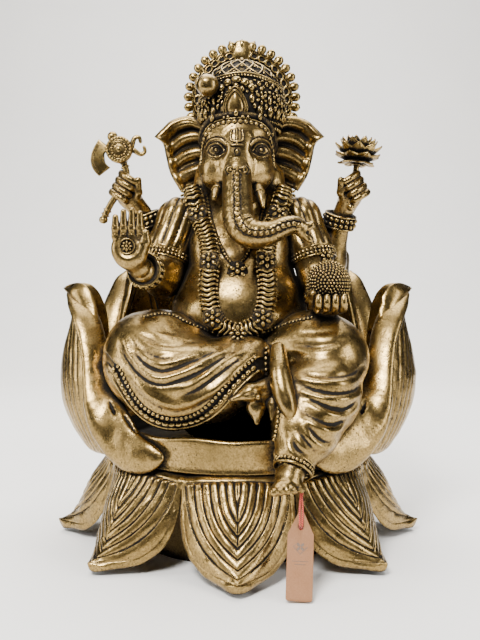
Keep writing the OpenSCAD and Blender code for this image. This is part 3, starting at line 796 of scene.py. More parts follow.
# The bands along the throne petals' front margins, as (x, y, z, half width) from the tip down
PETAL_MARGIN = [(107.5, -4, 157, 4.6), (102, -11, 150, 7.2), (96.5, -18, 142, 8.7),
                (92, -24, 131.5, 8.7), (89.5, -29, 121.5, 8.6), (86.5, -35, 105.5, 9.4),
                (82.5, -42, 91, 11.5), (75, -50, 78, 13.2), (66, -57.5, 67.5, 12.5),
                (59, -62.5, 64.5, 11.0), (52.5, -66.5, 64, 8.6), (46.5, -69.5, 64.5, 4.5)]
REAR_MARGIN = [(83, 77, 171, 4.0), (85.5, 73, 166, 7.0), (88, 67, 156, 8.6), (91, 61.5, 146, 8.8),
               (94, 56, 132, 8.6), (96.5, 51, 115, 8.0), (97, 47, 95, 7.5)]


def petal_root(side):
    """A side petal's front margin is a broad smooth band that sweeps down to the bowl's rim."""
    clay = Clay((-122, -90, 42), (-28, 14, 168), 0.9)
    band = smooth_line(PETAL_MARGIN, 40) * [-1, 1, 1, 1]
    # The band is thin towards the front above, and turns to face outwards as it runs onto the bowl
    for start, end in zip(band, band[1:]):
        along = unit(end[:3] - start[:3])
        turn = np.clip((95 - end[2]) / 32, 0, 1)
        face = np.array([0.45 - 1.0 * turn, -0.87, 0.1])
        face = unit(face - along * (face @ along))
        clay.limb([start[:3], end[:3]], (start[3], end[3]), 0.3, (face, 0.40))
    # Two short creases where the band turns
    for lift, start, stop in ((2.0, 21, 30), (5.6, 23, 32)):
        line = band[start:stop, :3] + [lift * 1.2 + 3, -4.2 - 0.2 * lift, lift]
        width = np.interp(np.linspace(0, 1, len(line)), (0, 0.5, 1), (0.5, 1.1, 0.5))
        clay.limb(line, width, 0.8, cut_out=True)
    points, faces = pressed(clay.surface(), lambda p, n: 0.3 * noise(p, 16, 44))
    return outwards((points * [-side, 1, 1], faces))


def make_seat():
    """The smooth bowl: a soft rim that was filed by hand, so it is never quite even."""
    high = node_box("seat_bowl")[1]
    out, top, floor_z = high[0], high[2], 61.0
    foot = node_box("foot_ring")[1][0]
    # Round under the bowl, up its outside, over the rim and back across its floor, as (radius, height)
    profile = [(4.6, 50.2), (40, 50.2), (foot, 50.4), (foot + 1, 56), (72, 57.2), (79, 56.4),
               (out - 1.6, 58.6), (out - 0.6, 68), (out, top - 1.6), (out - 0.8, top - 0.2),
               (out - 2.2, top), (out - 3.6, top - 0.8), (out - 4.6, top - 4), (out - 7, 65),
               (69, floor_z + 0.2), (40, floor_z), (4.6, floor_z), (4.6, 50.2)]
    profile = smooth_line(profile, 150)

    def wobble(radius, height, a):
        rim = np.clip((height - 62) / 14, 0, 1) * np.clip((radius - 60) / 12, 0, 1)
        return (radius + rim * (0.5 * np.sin(5 * a + 1) + 0.3 * np.sin(11 * a)),
                height + rim * (0.5 * np.sin(7 * a + 2) + 0.35 * np.sin(13 * a + 1)) - 0.8 * rim)

    # Inside the bowl, under the figure, the brass is blackened: painted shade
    def inside(points):
        return 1.5 * (np.hypot(points[:, 0], points[:, 1]) < out - 4.4) * (points[:, 2] > 58)

    piece("seat", outwards(lathe(profile, 260, wobble)), ANTIQUE, ["seat_bowl"], patina_and_shade=inside)


def finish_base_castings():
    """The foot ring and the fastenings keep the CAD model's shape."""
    # The foot ring takes the dark brass whose colour is painted shade; the fastenings are plated steel
    for node, material in (("foot_ring", FOOT_RING_PAINTED_SHADE), ("figure_stud", STEEL), ("figure_washer", STEEL),
                           ("figure_nut", STEEL)):
        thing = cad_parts[node]
        thing.data.materials.clear()
        thing.data.materials.append(material)


# ---------------------------------------------------------------- ornament

def slab(grid, thickness, bulge=0.45):
    """A closed sheet about a grid of points, with rounded edges."""
    rows, cols = grid.shape[:2]
    down, right = np.gradient(grid, axis=0), np.gradient(grid, axis=1)
    n = unit(np.cross(down, right))
    t = np.broadcast_to(thickness, (rows, cols))[..., None] / 2
    front, back = (grid + n * t).reshape(-1, 3), (grid - n * t).reshape(-1, 3)
    top = np.arange(cols)
    border = np.concatenate([top, np.arange(1, rows) * cols + cols - 1, (rows - 1) * cols + top[-2::-1],
                             np.arange(rows - 2, 0, -1) * cols])
    middle = grid.reshape(-1, 3)[border]
    outward = unit(middle - grid.reshape(-1, 3).mean(0))
    flat_t = t.reshape(-1, 1)[border]
    middle = middle + outward * flat_t * 2 * bulge
    count = rows * cols
    points = np.concatenate([front, back, middle])
    b, nb = border, np.roll(border, -1)
    m = 2 * count + np.arange(len(border))
    nm = np.roll(m, -1)
    quads = grid_quads(rows, cols)
    faces = [quads, quads[:, ::-1] + count, np.stack([b, nb, nm, m], 1),
             np.stack([m, nm, nb + count, b + count], 1)]
    return outwards((points, faces))


def bead_row(line, radius, gap=1.05, rings=6, sides=10):
    """Round beads side by side along a line."""
    line = np.asarray(line, float)
    length = np.linalg.norm(np.diff(line, axis=0), axis=1).sum()
    count = max(2, int(length / (2 * radius * gap)))
    return balls(smooth_line(line, count), radius, rings, sides)


def pebble(place, half, turn=None, rings=7, sides=10):
    return moved(ball((0, 0, 0), np.asarray(half, float), rings, sides), turn, place)


def flower(place, facing, size, petals=6):
    """A flat flower that faces along a direction: round petals about a centre bead."""
    frame_turn = aligned(facing)
    parts = [ball((0.25 * size, 0, 0), 0.27 * size)]
    for k in range(petals):
        a = 2 * pi * k / petals
        turn = turn_x(math.degrees(a))
        parts.append(moved(ball((0, 0, 0), np.array([0.24, 0.21, 0.34]) * size, 6, 10), turn,
                           (0, -0.62 * size * math.sin(a), 0.62 * size * math.cos(a))))
    return moved(joined(parts), frame_turn, place)


def ring(place, facing, radius, wire, sides=24):
    """A ring of round wire that faces along a direction."""
    a = np.linspace(0, 2 * pi, sides, endpoint=False)
    b = np.linspace(0, 2 * pi, 8, endpoint=False)
    rho = radius + wire * np.cos(b)[None, :]
    points = np.stack([np.broadcast_to(wire * np.sin(b)[None, :], (sides, 8)),
                       rho * np.cos(a)[:, None], rho * np.sin(a)[:, None]], -1).reshape(-1, 3)
    return moved((points, [grid_quads(sides, 8, True, True)]), aligned(facing), place)


def front_of(clays, x, z):
    """The y of the foremost surface of some clays at each (x, z)."""
    x, z = np.atleast_1d(np.asarray(x, float)), np.atleast_1d(np.asarray(z, float))
    best = np.full(len(x), 60.0)
    for clay in clays:
        i = np.clip(np.round((x - clay.low[0]) / clay.voxel).astype(int), 0, clay.field.shape[0] - 1)
        k = np.clip(np.round((z - clay.low[2]) / clay.voxel).astype(int), 0, clay.field.shape[2] - 1)
        column = clay.field[i, :, k]
        solid = column < 0
        first = np.argmax(solid, 1)
        found = solid.any(1)
        before = np.maximum(first - 1, 0)
        rows = np.arange(len(x))
        a, b = column[rows, before], column[rows, first]
        share = np.where(np.abs(a - b) > 1e-6, a / np.where(np.abs(a - b) > 1e-6, a - b, 1), 0)
        y = clay.axes[1][before] + np.clip(share, 0, 1) * clay.voxel
        best = np.where(found & (y < best), y, best)
    return best


def laid(clays, points, lift=0.0, steps=80):
    """A line given in front view as (x, z) points, laid on the foremost surface."""
    line = smooth_line(np.asarray([(x, 0, z) for x, z in points], float), steps)
    y = front_of(clays, line[:, 0], line[:, 2])
    kernel = np.array([1, 2, 3, 2, 1]) / 9
    y = np.convolve(np.pad(y, 2, mode="edge"), kernel, "valid")
    return np.stack([line[:, 0], y - lift, line[:, 2]], 1)


# ---------------------------------------------------------------- figure: body and legs

# The figure's middle line stands a little to its right of the base's middle
MID = -1.2


def model_torso():
    clay = Clay((-62, -56, 58), (64, 58, 226), 0.9)
    clay.blob((1, -5, 152), (41, 41, 34), 0)
    clay.blob((1, -8, 140), (43, 36, 24), 14)
    clay.blob((1, 2, 190), (36, 25, 30), 16)
    for side in (-1, 1):
        clay.blob((1 + side * 15, -12, 188), (15, 13, 13), 9)
        clay.blob((1 + side * 30, 4, 210), (15, 14, 13), 10)
    clay.blob((0, 8, 96), (50, 42, 40), 14)
    clay.limb([(0, 0, 212), (0, -6, 236)], (16, 16), 8)
    clay.below(61.4, 2)
    return clay


def cloth_back(points, n):
    """Folds of the lower garment round the back and sides of the hips."""
    low = np.clip((118 - points[:, 2]) / 14, 0, 1)
    angle = np.degrees(np.arctan2(points[:, 0], points[:, 1]))
    return low * 1.1 * np.abs(np.sin(np.radians(angle * 6 + points[:, 2] * 1.6))) ** 0.7


def make_torso():
    shape = pressed(TORSO.surface(), lambda p, n: cloth_back(p, n) + 0.15 * noise(p, 18, 3))
    # Darker towards the bottom of the torso, under the legs: painted shade
    piece("body_torso", shape, ANTIQUE, ["torso"], patina_and_shade=lambda p: np.clip((104 - p[:, 2]) / 12, 0, 1.3))


# The folded leg's drapery hangs between a top line and the hem, both as (x, z)
DRAPE_TOP = [(-80, 128), (-70, 134), (-58, 138), (-45, 137), (-31, 135), (-17, 133), (0, 131), (14, 128)]
DRAPE_HEM = [(-78, 124), (-73, 119), (-68.5, 115.5), (-63.5, 106.6), (-56.5, 97), (-47.5, 90.5),
             (-38, 87.8), (-28, 89), (-19.5, 94), (-11.5, 102), (-4.5, 110), (2.5, 116.5), (10, 122)]
DRAPE_FOLDS = [
    (0.7, [(-56.5, 138.6), (-46, 134.2), (-36, 133), (-26.5, 136), (-19.5, 139.5)]),
    (0.9, [(-60, 135), (-54.5, 130), (-46, 126.6), (-36, 126.2), (-24.5, 128.8), (-15, 132.4)]),
    (1.5, [(-56.5, 126), (-51, 121.7), (-44, 119.5), (-37, 120.4),
           (-26.5, 124.4), (-16, 128.8), (-8, 133)]),
    (1.9, [(-66, 131.5), (-62.7, 124.4), (-56.5, 117.3), (-49.4, 112.8), (-42.3, 111.5),
           (-33.5, 113.7), (-23, 118.2), (-13, 123.5), (-4, 128.8)]),
    (1.3, [(-33.5, 104.8), (-24.7, 108.4), (-15.8, 114.6), (-7, 120.8), (2, 126.2)]),
    (1.2, [(-24.7, 98.5), (-13.2, 105.7), (-4.3, 112.8), (2.5, 119)]),
    (0.9, [(-60, 111), (-53, 104), (-44, 98.5), (-35.3, 95.8), (-28.2, 97), (-20.3, 101.2)])]


def folds_in_front(points, curves, crease=1):
    """Folds drawn in front view as (strength, [(x, z), ...]) from the viewer's left to right.
    Each is a crest with a crease beside it: below it, or above it if crease is -1."""
    flat = points[:, [0, 2]]
    total = np.zeros(len(points))
    for strength, line in curves:
        way = smooth_line([(x, z, 0) for x, z in line], 50)[:, :2]
        ahead = unit(np.gradient(way, axis=0))
        down = np.stack([ahead[:, 1], -ahead[:, 0]], 1)
        best, at = np.full(len(flat), 1e9), np.zeros(len(flat), int)
        for k, q in enumerate(way):
            d = ((flat - q) ** 2).sum(1)
            at = np.where(d < best, k, at)
            best = np.minimum(best, d)
        off = ((flat - way[at]) * down[at]).sum(1)
        beyond = np.sqrt(np.maximum(best - off ** 2, 0))
        taper = np.sin(pi * np.clip((at + 1) / 51, 0, 1)) ** 0.45 * np.exp(-(beyond / 2.5) ** 2)
        off = off * crease
        crest = groove(off, 2.4) - 0.55 * groove(off - 3.4, 1.4) - 0.25 * groove(off + 4.8, 2.8)
        total += strength * taper * crest
    return total


def along_drape(x, z):
    """0 on the drapery's top line and 1 on its hem, with the distance between them."""
    top, hem = (smooth_line([(a, 0, b) for a, b in line], 120) for line in (DRAPE_TOP, DRAPE_HEM))
    upper = np.interp(x, top[:, 0], top[:, 2])
    lower = np.interp(x, hem[:, 0], hem[:, 2])
    return (upper - z) / np.maximum(upper - lower, 4), np.maximum(upper - lower, 4)


def model_right_leg():
    clay = Clay((-92, -92, 74), (24, 6, 154), 0.75)
    clay.limb([(-14, -22, 114), (-48, -32, 119), (-55, -38, 118)], (27, 27, 24), 10)
    clay.limb([(-56, -42, 113), (-38, -52, 105), (-14, -57, 107), (4, -58, 114)], (21, 24, 20, 13), 14)
    clay.limb([(0, -50, 122), (10, -52, 124)], (12, 9), 8)
    clay.blob((-58, -38, 125), (21, 20, 21), 8)
    return clay


def make_right_leg():
    def folds(p, n):
        share, height = along_drape(p[:, 0], p[:, 2])
        facing = np.clip(-n[:, 1] * 1.6, 0, 1)
        total = folds_in_front(p, DRAPE_FOLDS)
        # The band below the bead row lies a little lower than the cloth
        below = (share - 0.97) * height
        band = np.clip(below, 0, 1) * np.clip(7.5 - below, 0, 1)
        return facing * (total - 1.2 * band) + 0.2 * noise(p, 14, 5)

    shape = pressed(RIGHT_LEG.surface(), folds)

    # Darkens the narrow band below the hem's bead row, on the front of the leg
    def hem_band_darkening(p):
        share, height = along_drape(p[:, 0], p[:, 2])
        below = (share - 1) * height
        band = np.clip((below + 0.5) / 0.8, 0, 1) * np.clip((6.8 - below) / 0.8, 0, 1)
        return 1.2 * band * (p[:, 1] < -40) * (p[:, 0] > DRAPE_HEM[1][0])

    piece("body_right_leg", shape, ANTIQUE, ["right_leg"], patina_and_shade=hem_band_darkening)
    hem = smooth_line([(a, 0, b) for a, b in DRAPE_HEM[1:]], 200)[:, [0, 2]]
    across = unit(np.stack([-np.gradient(hem[:, 1]), np.gradient(hem[:, 0])], 1))
    beads = laid([RIGHT_LEG], hem, 0.2, 160)
    leaf_line = laid([RIGHT_LEG], hem - across * 4.0, -0.2, 160)
    edge = laid([RIGHT_LEG], hem - across * 7.0, 0.0, 160)
    leaves = smooth_line(leaf_line[4:-6], 30)
    heading = np.gradient(leaves, axis=0)
    parts = [bead_row(beads[6:], 1.2, 1.12), tube(smooth_line(edge[2:-4], 90), 1.0, 8)]
    parts.append(tube(beads[6:] + [0, 0.7, 1.9], 0.4, 6))
    parts += [pebble(p, (2.1, 1.3, 1.55), aligned(d)) for p, d in zip(leaves, heading)]
    piece("body_right_leg_hem", joined(parts), PATINATED)


def model_left_leg():
    clay = Clay((6, -102, 54), (90, 8, 156), 0.75)
    clay.limb([(18, -20, 116), (48, -36, 122), (56, -42, 121)], (26, 24.5, 22), 10)
    clay.limb([(55.5, -46, 117), (50, -62, 98), (41, -76, 80), (34, -83, 68)], (19.5, 19.5, 14, 10), 10)
    clay.limb([(36, -66, 104), (31, -75, 86), (29, -84, 71)], (12, 9.5, 7.5), 8)
    return clay


LEG_HEM = [(23.5, 97), (22.3, 88), (21, 80), (20, 73.5), (21.5, 69), (27, 66.5), (34, 64.5), (39.5, 64)]
# Folds of the hanging leg, as (x, z): across the thigh, then down the shin
LEG_FOLDS = [
    (0.6, [(37, 132), (47.4, 132.6), (58.3, 134)]),
    (0.8, [(31.5, 126), (40, 125), (51, 125.6), (62, 128)]),
    (1.5, [(33, 112.4), (41.6, 110), (54.7, 109), (66, 109.6), (73.5, 112.5)]),
    (1.5, [(34.4, 105), (43, 102), (54.7, 100.2), (65.5, 100.6), (71.3, 102.4)]),
    (1.5, [(35.8, 99), (43, 96), (51.8, 92.2), (59.7, 90.8), (66.2, 93.4), (69, 96.5)]),
    (1.4, [(35.8, 90), (41.6, 87.4), (49, 84.2), (55.4, 83.5), (61.2, 86.2)]),
    (1.1, [(34.4, 88), (39.5, 80), (46, 75), (52, 73.6)]),
    (1.2, [(31.5, 81), (35.8, 76), (38.7, 73)]),
    (1.0, [(27, 80), (28, 76), (31, 71.5), (35.8, 68.6)])]


def make_left_leg():
    def folds(p, n):
        facing = np.clip(-n[:, 1] * 1.6 + np.abs(n[:, 0]) * 0.8, 0, 1)
        return facing * folds_in_front(p, LEG_FOLDS, -1) + 0.12 * noise(p, 14, 8)

    piece("body_left_leg", pressed(LEFT_LEG.surface(), folds), ANTIQUE, ["left_leg"])
    hem = laid([LEFT_LEG], LEG_HEM, 0.5, 90)
    below = laid([LEFT_LEG], [(19.5, 70), (21.5, 65.6), (27, 63), (34, 61), (38, 60.5)], 0.3, 40)
    parts = [bead_row(hem, 1.25, 1.1), tube(hem + [1.7, 0.3, 1.2], 0.5, 6)]
    parts.append(tube(below + [0, 0, -2.2], 0.8, 8))
    studs = smooth_line(below, 8)
    parts += [pebble(p, (1.9, 1.2, 1.3), aligned(d)) for p, d in zip(studs, np.gradient(studs, axis=0))]
    piece("body_left_leg_hem", joined(parts), PATINATED)


def make_left_foot():
    clay = Clay((10, -112, 46), (48, -76, 78), 0.5)
    clay.limb([(33, -84, 68), (29, -91, 59.5)], (8, 7), 4)
    clay.limb([(28, -90, 59), (26, -98, 55.5)], (7.5, 5.5), 4, flat=((0, 0, 1), 0.75))
    for k in range(5):
        x = 19.5 + 3.7 * k
        clay.limb([(26 + 1.2 * k, -93, 57), (x, -103 + 0.9 * k, 54)], (4.2, 2.6 - 0.2 * k), 1.6)
        clay.blob((x, -104.6 + 0.9 * k, 53.8), 2.5 - 0.22 * k, 0.8)
    shape = clay.surface()
    nails = [pebble((19.5 + 3.7 * k, -106.3 + 0.9 * k, 54.6), (1.3 - 0.1 * k, 0.6, 1.0)) for k in range(5)]
    piece("body_left_foot", joined([shape] + nails), ANTIQUE, ["left_foot"])
    # The anklet: a row of beads between two wires, square to the shin
    c, shin = centre("anklet"), np.array((-4, -7, -9))
    a = np.linspace(0, 2 * pi, 30, endpoint=False)
    places = (aligned(shin) @ np.stack([0 * a, 10.7 * np.cos(a), 10.7 * np.sin(a)])).T + c - 0.03 * shin
    parts = [ring(c + shin * s, shin, 10.6, 0.8, 40) for s in (-0.22, 0.16)]
    piece("body_anklet", joined(parts + [balls(places, 1.15)]), PATINATED, ["anklet"])


def make_dhoti_end():
    """The end of the lower garment between the legs: a leaf-like fold, a bead, and a pointed drop."""
    clay = Clay((-8, -86, 80), (26, -48, 118), 0.5)
    clay.limb([(20, -62, 106), (15, -70, 104), (7, -75, 103), (-3.5, -78, 99.5)], (6, 5.2, 4.8, 1.2), 3)
    clay.limb([(16, -80, 103.5), (9, -80.5, 103), (0, -81, 101)], (0.5, 1.4, 0.5), 0.8, cut_out=True)
    clay.limb([(12, -66, 100), (10.5, -72, 94), (11, -75.5, 86)], (7, 5.2, 1.6), 2.5)
    clay.limb([(19, -66, 104), (20, -72, 96), (20, -75, 88)], (4.5, 3.4, 1.6), 1)
    shape = joined([clay.surface(), ball((11.6, -79.3, 101), 1.6)])
    piece("body_dhoti_end", shape, ANTIQUE, ["dhoti_pleats"])


def make_sash():
    clay = Clay((14, -92, 82), (42, -52, 138), 0.6)
    line = smooth_line([(23.5, -65, 126.5, 4.4), (23.7, -74, 117, 5.6), (25, -79.5, 107, 6.2),
                        (28, -83.5, 97, 5.2), (29.8, -85, 89.5, 2.4)], 24)
    clay.limb(line[:, :3], line[:, 3], 0.3)
    beside = [(16.8, 127), (16.3, 120), (16.6, 112), (18.5, 105), (22.5, 98)]
    line = laid([RIGHT_LEG, LEFT_LEG, TORSO], beside, 2.2, 60)
    piece("body_sash", pressed(clay.surface(), lambda p, n: 0.2 * noise(p, 12, 6)), ANTIQUE, ["waist_sash"])
    piece("body_sash_beads", bead_row(line, 1.3, 1.15), PATINATED)


def make_belt():
    """A row of small beads on a dark cord, round the waist and over both thighs."""
    left = [(-56, 145), (-46, 146.5), (-38, 145), (-32, 142),
            (-24, 138.5), (-16, 135.5), (-8, 134), (2, 133.5)]
    right = [(2, 133.5), (10, 134), (18.5, 136), (27, 139.5), (35, 142.5), (44, 144.5)]
    beads, cords = [], []
    for way in (left, right):
        line = laid([TORSO, RIGHT_LEG, LEFT_LEG], way, 0.7, 70)
        beads.append(bead_row(line, 0.95, 1.2))
        cords.append(tube(line + [0, 0.9, 0], 1.4, 8))
    a = np.linspace(-0.15 * pi, 1.15 * pi, 80)
    back = np.stack([1 + 49 * np.cos(a), -2 + 42 * np.sin(a), 139 + 4 * np.abs(np.cos(a))], 1)
    beads.append(bead_row(back, 1.1, 1.2))
    cords.append(tube(back, 1.3, 8))
    piece("ornament_belt", joined(beads), PATINATED, ["waist_belt"])
    piece("ornament_belt_cord", joined(cords), BLACKENED)


# ---------------------------------------------------------------- figure: head

# How far each eye lies to the side, and how high both are
EYES = (-13.2, 14.0)
EYE_HEIGHT = 245.2
# Lines round an eye as (radius, [(away from the trunk, up), ...]), from the lids up to the brow
EYE_ENGRAVED = [
    (0.5, [(-4.8, -1.2), (-2.6, 2.0), (0.4, 3.1), (3.4, 1.9), (4.9, -0.4)]),
    (0.45, [(-4.8, -1.2), (-2.2, -2.7), (0.8, -2.9), (3.4, -2.1), (4.9, -0.4)]),
    (0.4, [(-5.8, 0.8), (-3.2, 4.1), (0.4, 5.1), (4.0, 4.1), (6.2, 1.2)]),
    (0.35, [(-7.0, 4.0), (-4.2, 7.0), (0.2, 8.1), (4.4, 7.2), (7.2, 4.2)])]
EYE_RAISED = [
    (0.6, [(-5.3, -0.6), (-2.9, 3.0), (0.4, 4.1), (3.7, 3.0), (5.6, 0.2)]),
    (0.5, [(-5.2, -2.0), (-2.4, -3.6), (0.8, -3.9), (3.6, -3.0), (5.6, -1.0)]),
    (0.65, [(-6.4, 2.6), (-3.8, 5.6), (0.3, 6.8), (4.3, 5.8), (6.8, 2.8)])]


def model_head():
    clay = Clay((-34, -58, 204), (36, 26, 284), 0.55)
    clay.blob((0, -13, 249), (23, 25.5, 21), 0)
    clay.blob((0, -19, 234), (20, 20, 15), 10)
    clay.limb([(0, 0, 212), (0, -8, 234)], (17, 16), 8)
    clay.limb([(-20, -2, 212), (-19, -4, 234)], (11, 9), 6)
    clay.limb([(22, -2, 212), (21, -4, 234)], (11, 9), 6)
    for side in (-1, 1):
        clay.blob((MID + side * 9, -28.5, 256), (11, 9, 9), 8)
        clay.blob((MID + side * 14, -26, 234), (8.5, 10.5, 10), 7)
    clay.limb([(MID + 1, -29, 262), (MID + 1, -33, 246), (MID + 1.2, -35, 230)], (8, 9, 9.5), 9)
    for x in EYES:
        clay.blob((x, -40.5, EYE_HEIGHT), (6.2, 5.2, 4.6), 3, cut_out=True)
        clay.blob((x, -34.8, EYE_HEIGHT), (5.2, 3.0, 3.8), 1.5)
    return clay


def eye_line(x, points, radius):
    side = 1 if x > 0 else -1
    return tube(laid([HEAD], [(x + side * a, EYE_HEIGHT + b) for a, b in points], 0.3, 40), radius, 8)


def make_head():
    parts = [pressed(HEAD.surface(), lambda p, n: 0.12 * noise(p, 9, 21))]
    lines = []
    for x in EYES:
        lines += [eye_line(x, points, radius) for radius, points in EYE_ENGRAVED]
        parts += [eye_line(x, points, radius) for radius, points in EYE_RAISED]
        pupil = laid([HEAD], [(x, EYE_HEIGHT + 0.2), (x + 0.1, EYE_HEIGHT - 0.2)], 0.15, 4)[0]
        lines.append(ring(pupil, (0, -1, 0), 2.0, 0.5, 24))
        parts.append(ball(pupil, (1.0, 0.7, 1.0)))
    # A three-pronged mark on the brow, with a drop below it
    middle = MID + 0.6
    strokes = [[(middle, 257), (middle, 248)], [(middle - 3.0, 247.2), (middle + 3.0, 247.2)]]
    for side in (-1, 1):
        prong = [(3.2, 256.4), (3.8, 252), (2.8, 249.8), (0, 249.2)]
        strokes.append([(middle + side * x, z) for x, z in prong])
    for stroke in strokes:
        lines.append(tube(laid([HEAD], stroke, 0.2, 24), 1.05, 8))
        parts.append(tube(laid([HEAD], stroke, 0.95, 24), 0.48, 8))
    drop = laid([HEAD], [(middle, 243.6), (middle, 242.8)], 0.2, 4)[1]
    parts.append(pebble(drop, (1.0, 0.8, 1.6)))
    lines.append(ring(drop, (0, -1, 0), 2.0, 0.5, 20))
    piece("head_face", joined(parts), ANTIQUE, ["head"])
    piece("head_lines", joined(lines), BLACKENED)
    # The headband: round beads under a smooth rim, over the brow and down both sides of the face
    half = [(-22.5, 238), (-22.0, 247), (-19, 255.5), (-13, 260.5)]
    centre_x = MID + 0.9
    arch = half + [(centre_x, 262)] + [(2 * centre_x - x, z) for x, z in reversed(half)]
    beads = laid([HEAD], arch, 0.6, 120)
    over = [(centre_x + (x - centre_x) * 1.07, z + 2.1 * max(0, (z - 240) / 22)) for x, z in arch]
    rim = laid([HEAD], over, 0.5, 120)
    # Above the brow the rim fills out into a dark band with a row of buds
    top = smooth_line(rim, 110)[16:-16]
    swell = 2.8 * np.sin(np.linspace(0.12, pi - 0.12, len(top))) ** 0.35
    fill = tube(top + [0, 2.2, 2.2], swell, 12, 0.7, (0, 1, 0))
    edge = tube(smooth_line(rim, 110) + [0, 1.2, -0.6], 1.2, 8)
    piece("head_band_edge", joined([edge, fill]), BLACKENED)
    buds = smooth_line(top[3:-3] + [0, -1.0, 2.9], 17)
    ornament = [tube(smooth_line(rim, 110), 0.6, 8), bead_row(beads, 1.4, 1.15)]
    ornament += [pebble(q, (1.5, 1.6, 2.2)) for q in buds]
    ornament += [ball(q + [0, -0.2, -1.2], 0.9) for q in (buds[1:] + buds[:-1]) / 2]
    piece("head_band", joined(ornament), PATINATED)


TRUNK_LINE = [(0, -33.5, 244), (-0.4, -40, 230), (-0.2, -47, 214), (1, -53, 201), (7, -57, 194),
              (18, -58, 194), (27, -57, 198), (34, -55, 199), (39, -54, 195)]
TRUNK_RADII = (8.2, 8.7, 9.1, 9.3, 8.6, 7.0, 5.9, 4.9, 3.6)


def make_trunk():
    clay = Clay((-20, -76, 180), (52, -18, 260), 0.55)
    line = smooth_line([(*p, r) for p, r in zip(TRUNK_LINE, TRUNK_RADII)], 40)
    clay.limb(line[:, :3], line[:, 3], 0.3)
    clay.limb([(38, -54, 196), (43, -55, 199)], (3.6, 2.2), 2)
    clay.limb([(38, -54, 195), (42, -55, 190.5)], (3.4, 2.0), 2)
    clay.limb([(41, -57, 194.5), (47, -57, 194.5)], (1.2, 1.8), 1.5, cut_out=True)
    path = smooth_line([(*p, r) for p, r in zip(TRUNK_LINE, TRUNK_RADII)], 220)
    length = np.concatenate([[0], np.cumsum(np.linalg.norm(np.diff(path[:, :3], axis=0), axis=1))])

    def wrinkles(p, n):
        best, at = np.full(len(p), 1e9), np.zeros(len(p))
        for q, run_to in zip(path, length):
            d = ((p - q[:3]) ** 2).sum(1)
            at = np.where(d < best, run_to, at)
            best = np.minimum(best, d)
        rise = np.clip((at - 30) / 15, 0, 1)
        ripple = 0.18 * np.abs(np.sin(at * pi / 3.6)) - 0.25 * groove(np.mod(at, 10.8) - 5.4, 0.8)
        return rise * ripple + 0.12 * noise(p, 8, 4)

    piece("trunk_skin", pressed(clay.surface(), wrinkles), ANTIQUE, ["trunk"])
    # A flower at the root, and a chain of beads down to the tip
    front = np.array([(0.0, -1.0, 0.0)])
    along = unit(np.gradient(path[:, :3], axis=0))
    proud = unit(front - along * (along @ front[0])[:, None])
    ridge = path[:, :3] + proud * (path[:, 3:] + 0.25)
    run = ridge[(length > 20) & (length < length[-1] - 6)]
    side = unit(np.cross(np.gradient(run, axis=0), front))
    parts, cords = [bead_row(run, 1.5, 1.08)], []
    for way in (-1, 1):
        # A scalloped cord on each side of the chain, and a scroll at its head
        wavy = run + side * way * (2.1 + 0.35 * np.sin(np.arange(len(run)) * 0.95))[:, None]
        cords.append(tube(wavy[::2] + [0, 0.35, 0], 0.6, 6))
        t = np.linspace(0, 1.5 * pi, 24)
        scroll = np.stack([way * (3.9 - 1.9 * np.cos(t)), 0.5 + 0.05 * (t - 3) ** 2, 1.6 * np.sin(t)], 1)
        root = ridge[np.argmax(length > 17)]
        parts.append(tube(root + scroll, 0.6, 8))
        parts.append(ball(root + [way * 3.9, 0.2, 0], 0.9))
        cords.append(tube(root + scroll * [1.25, 1, 1.5] + [0, 0.5, 0], 0.6, 8))
    parts.append(flower(root + [0, -0.3, 0], (0, -1, 0.1), 3.0, 6))
    piece("trunk_beads", joined(parts), ANTIQUE)
    piece("trunk_bead_edges", joined(cords), BLACKENED)


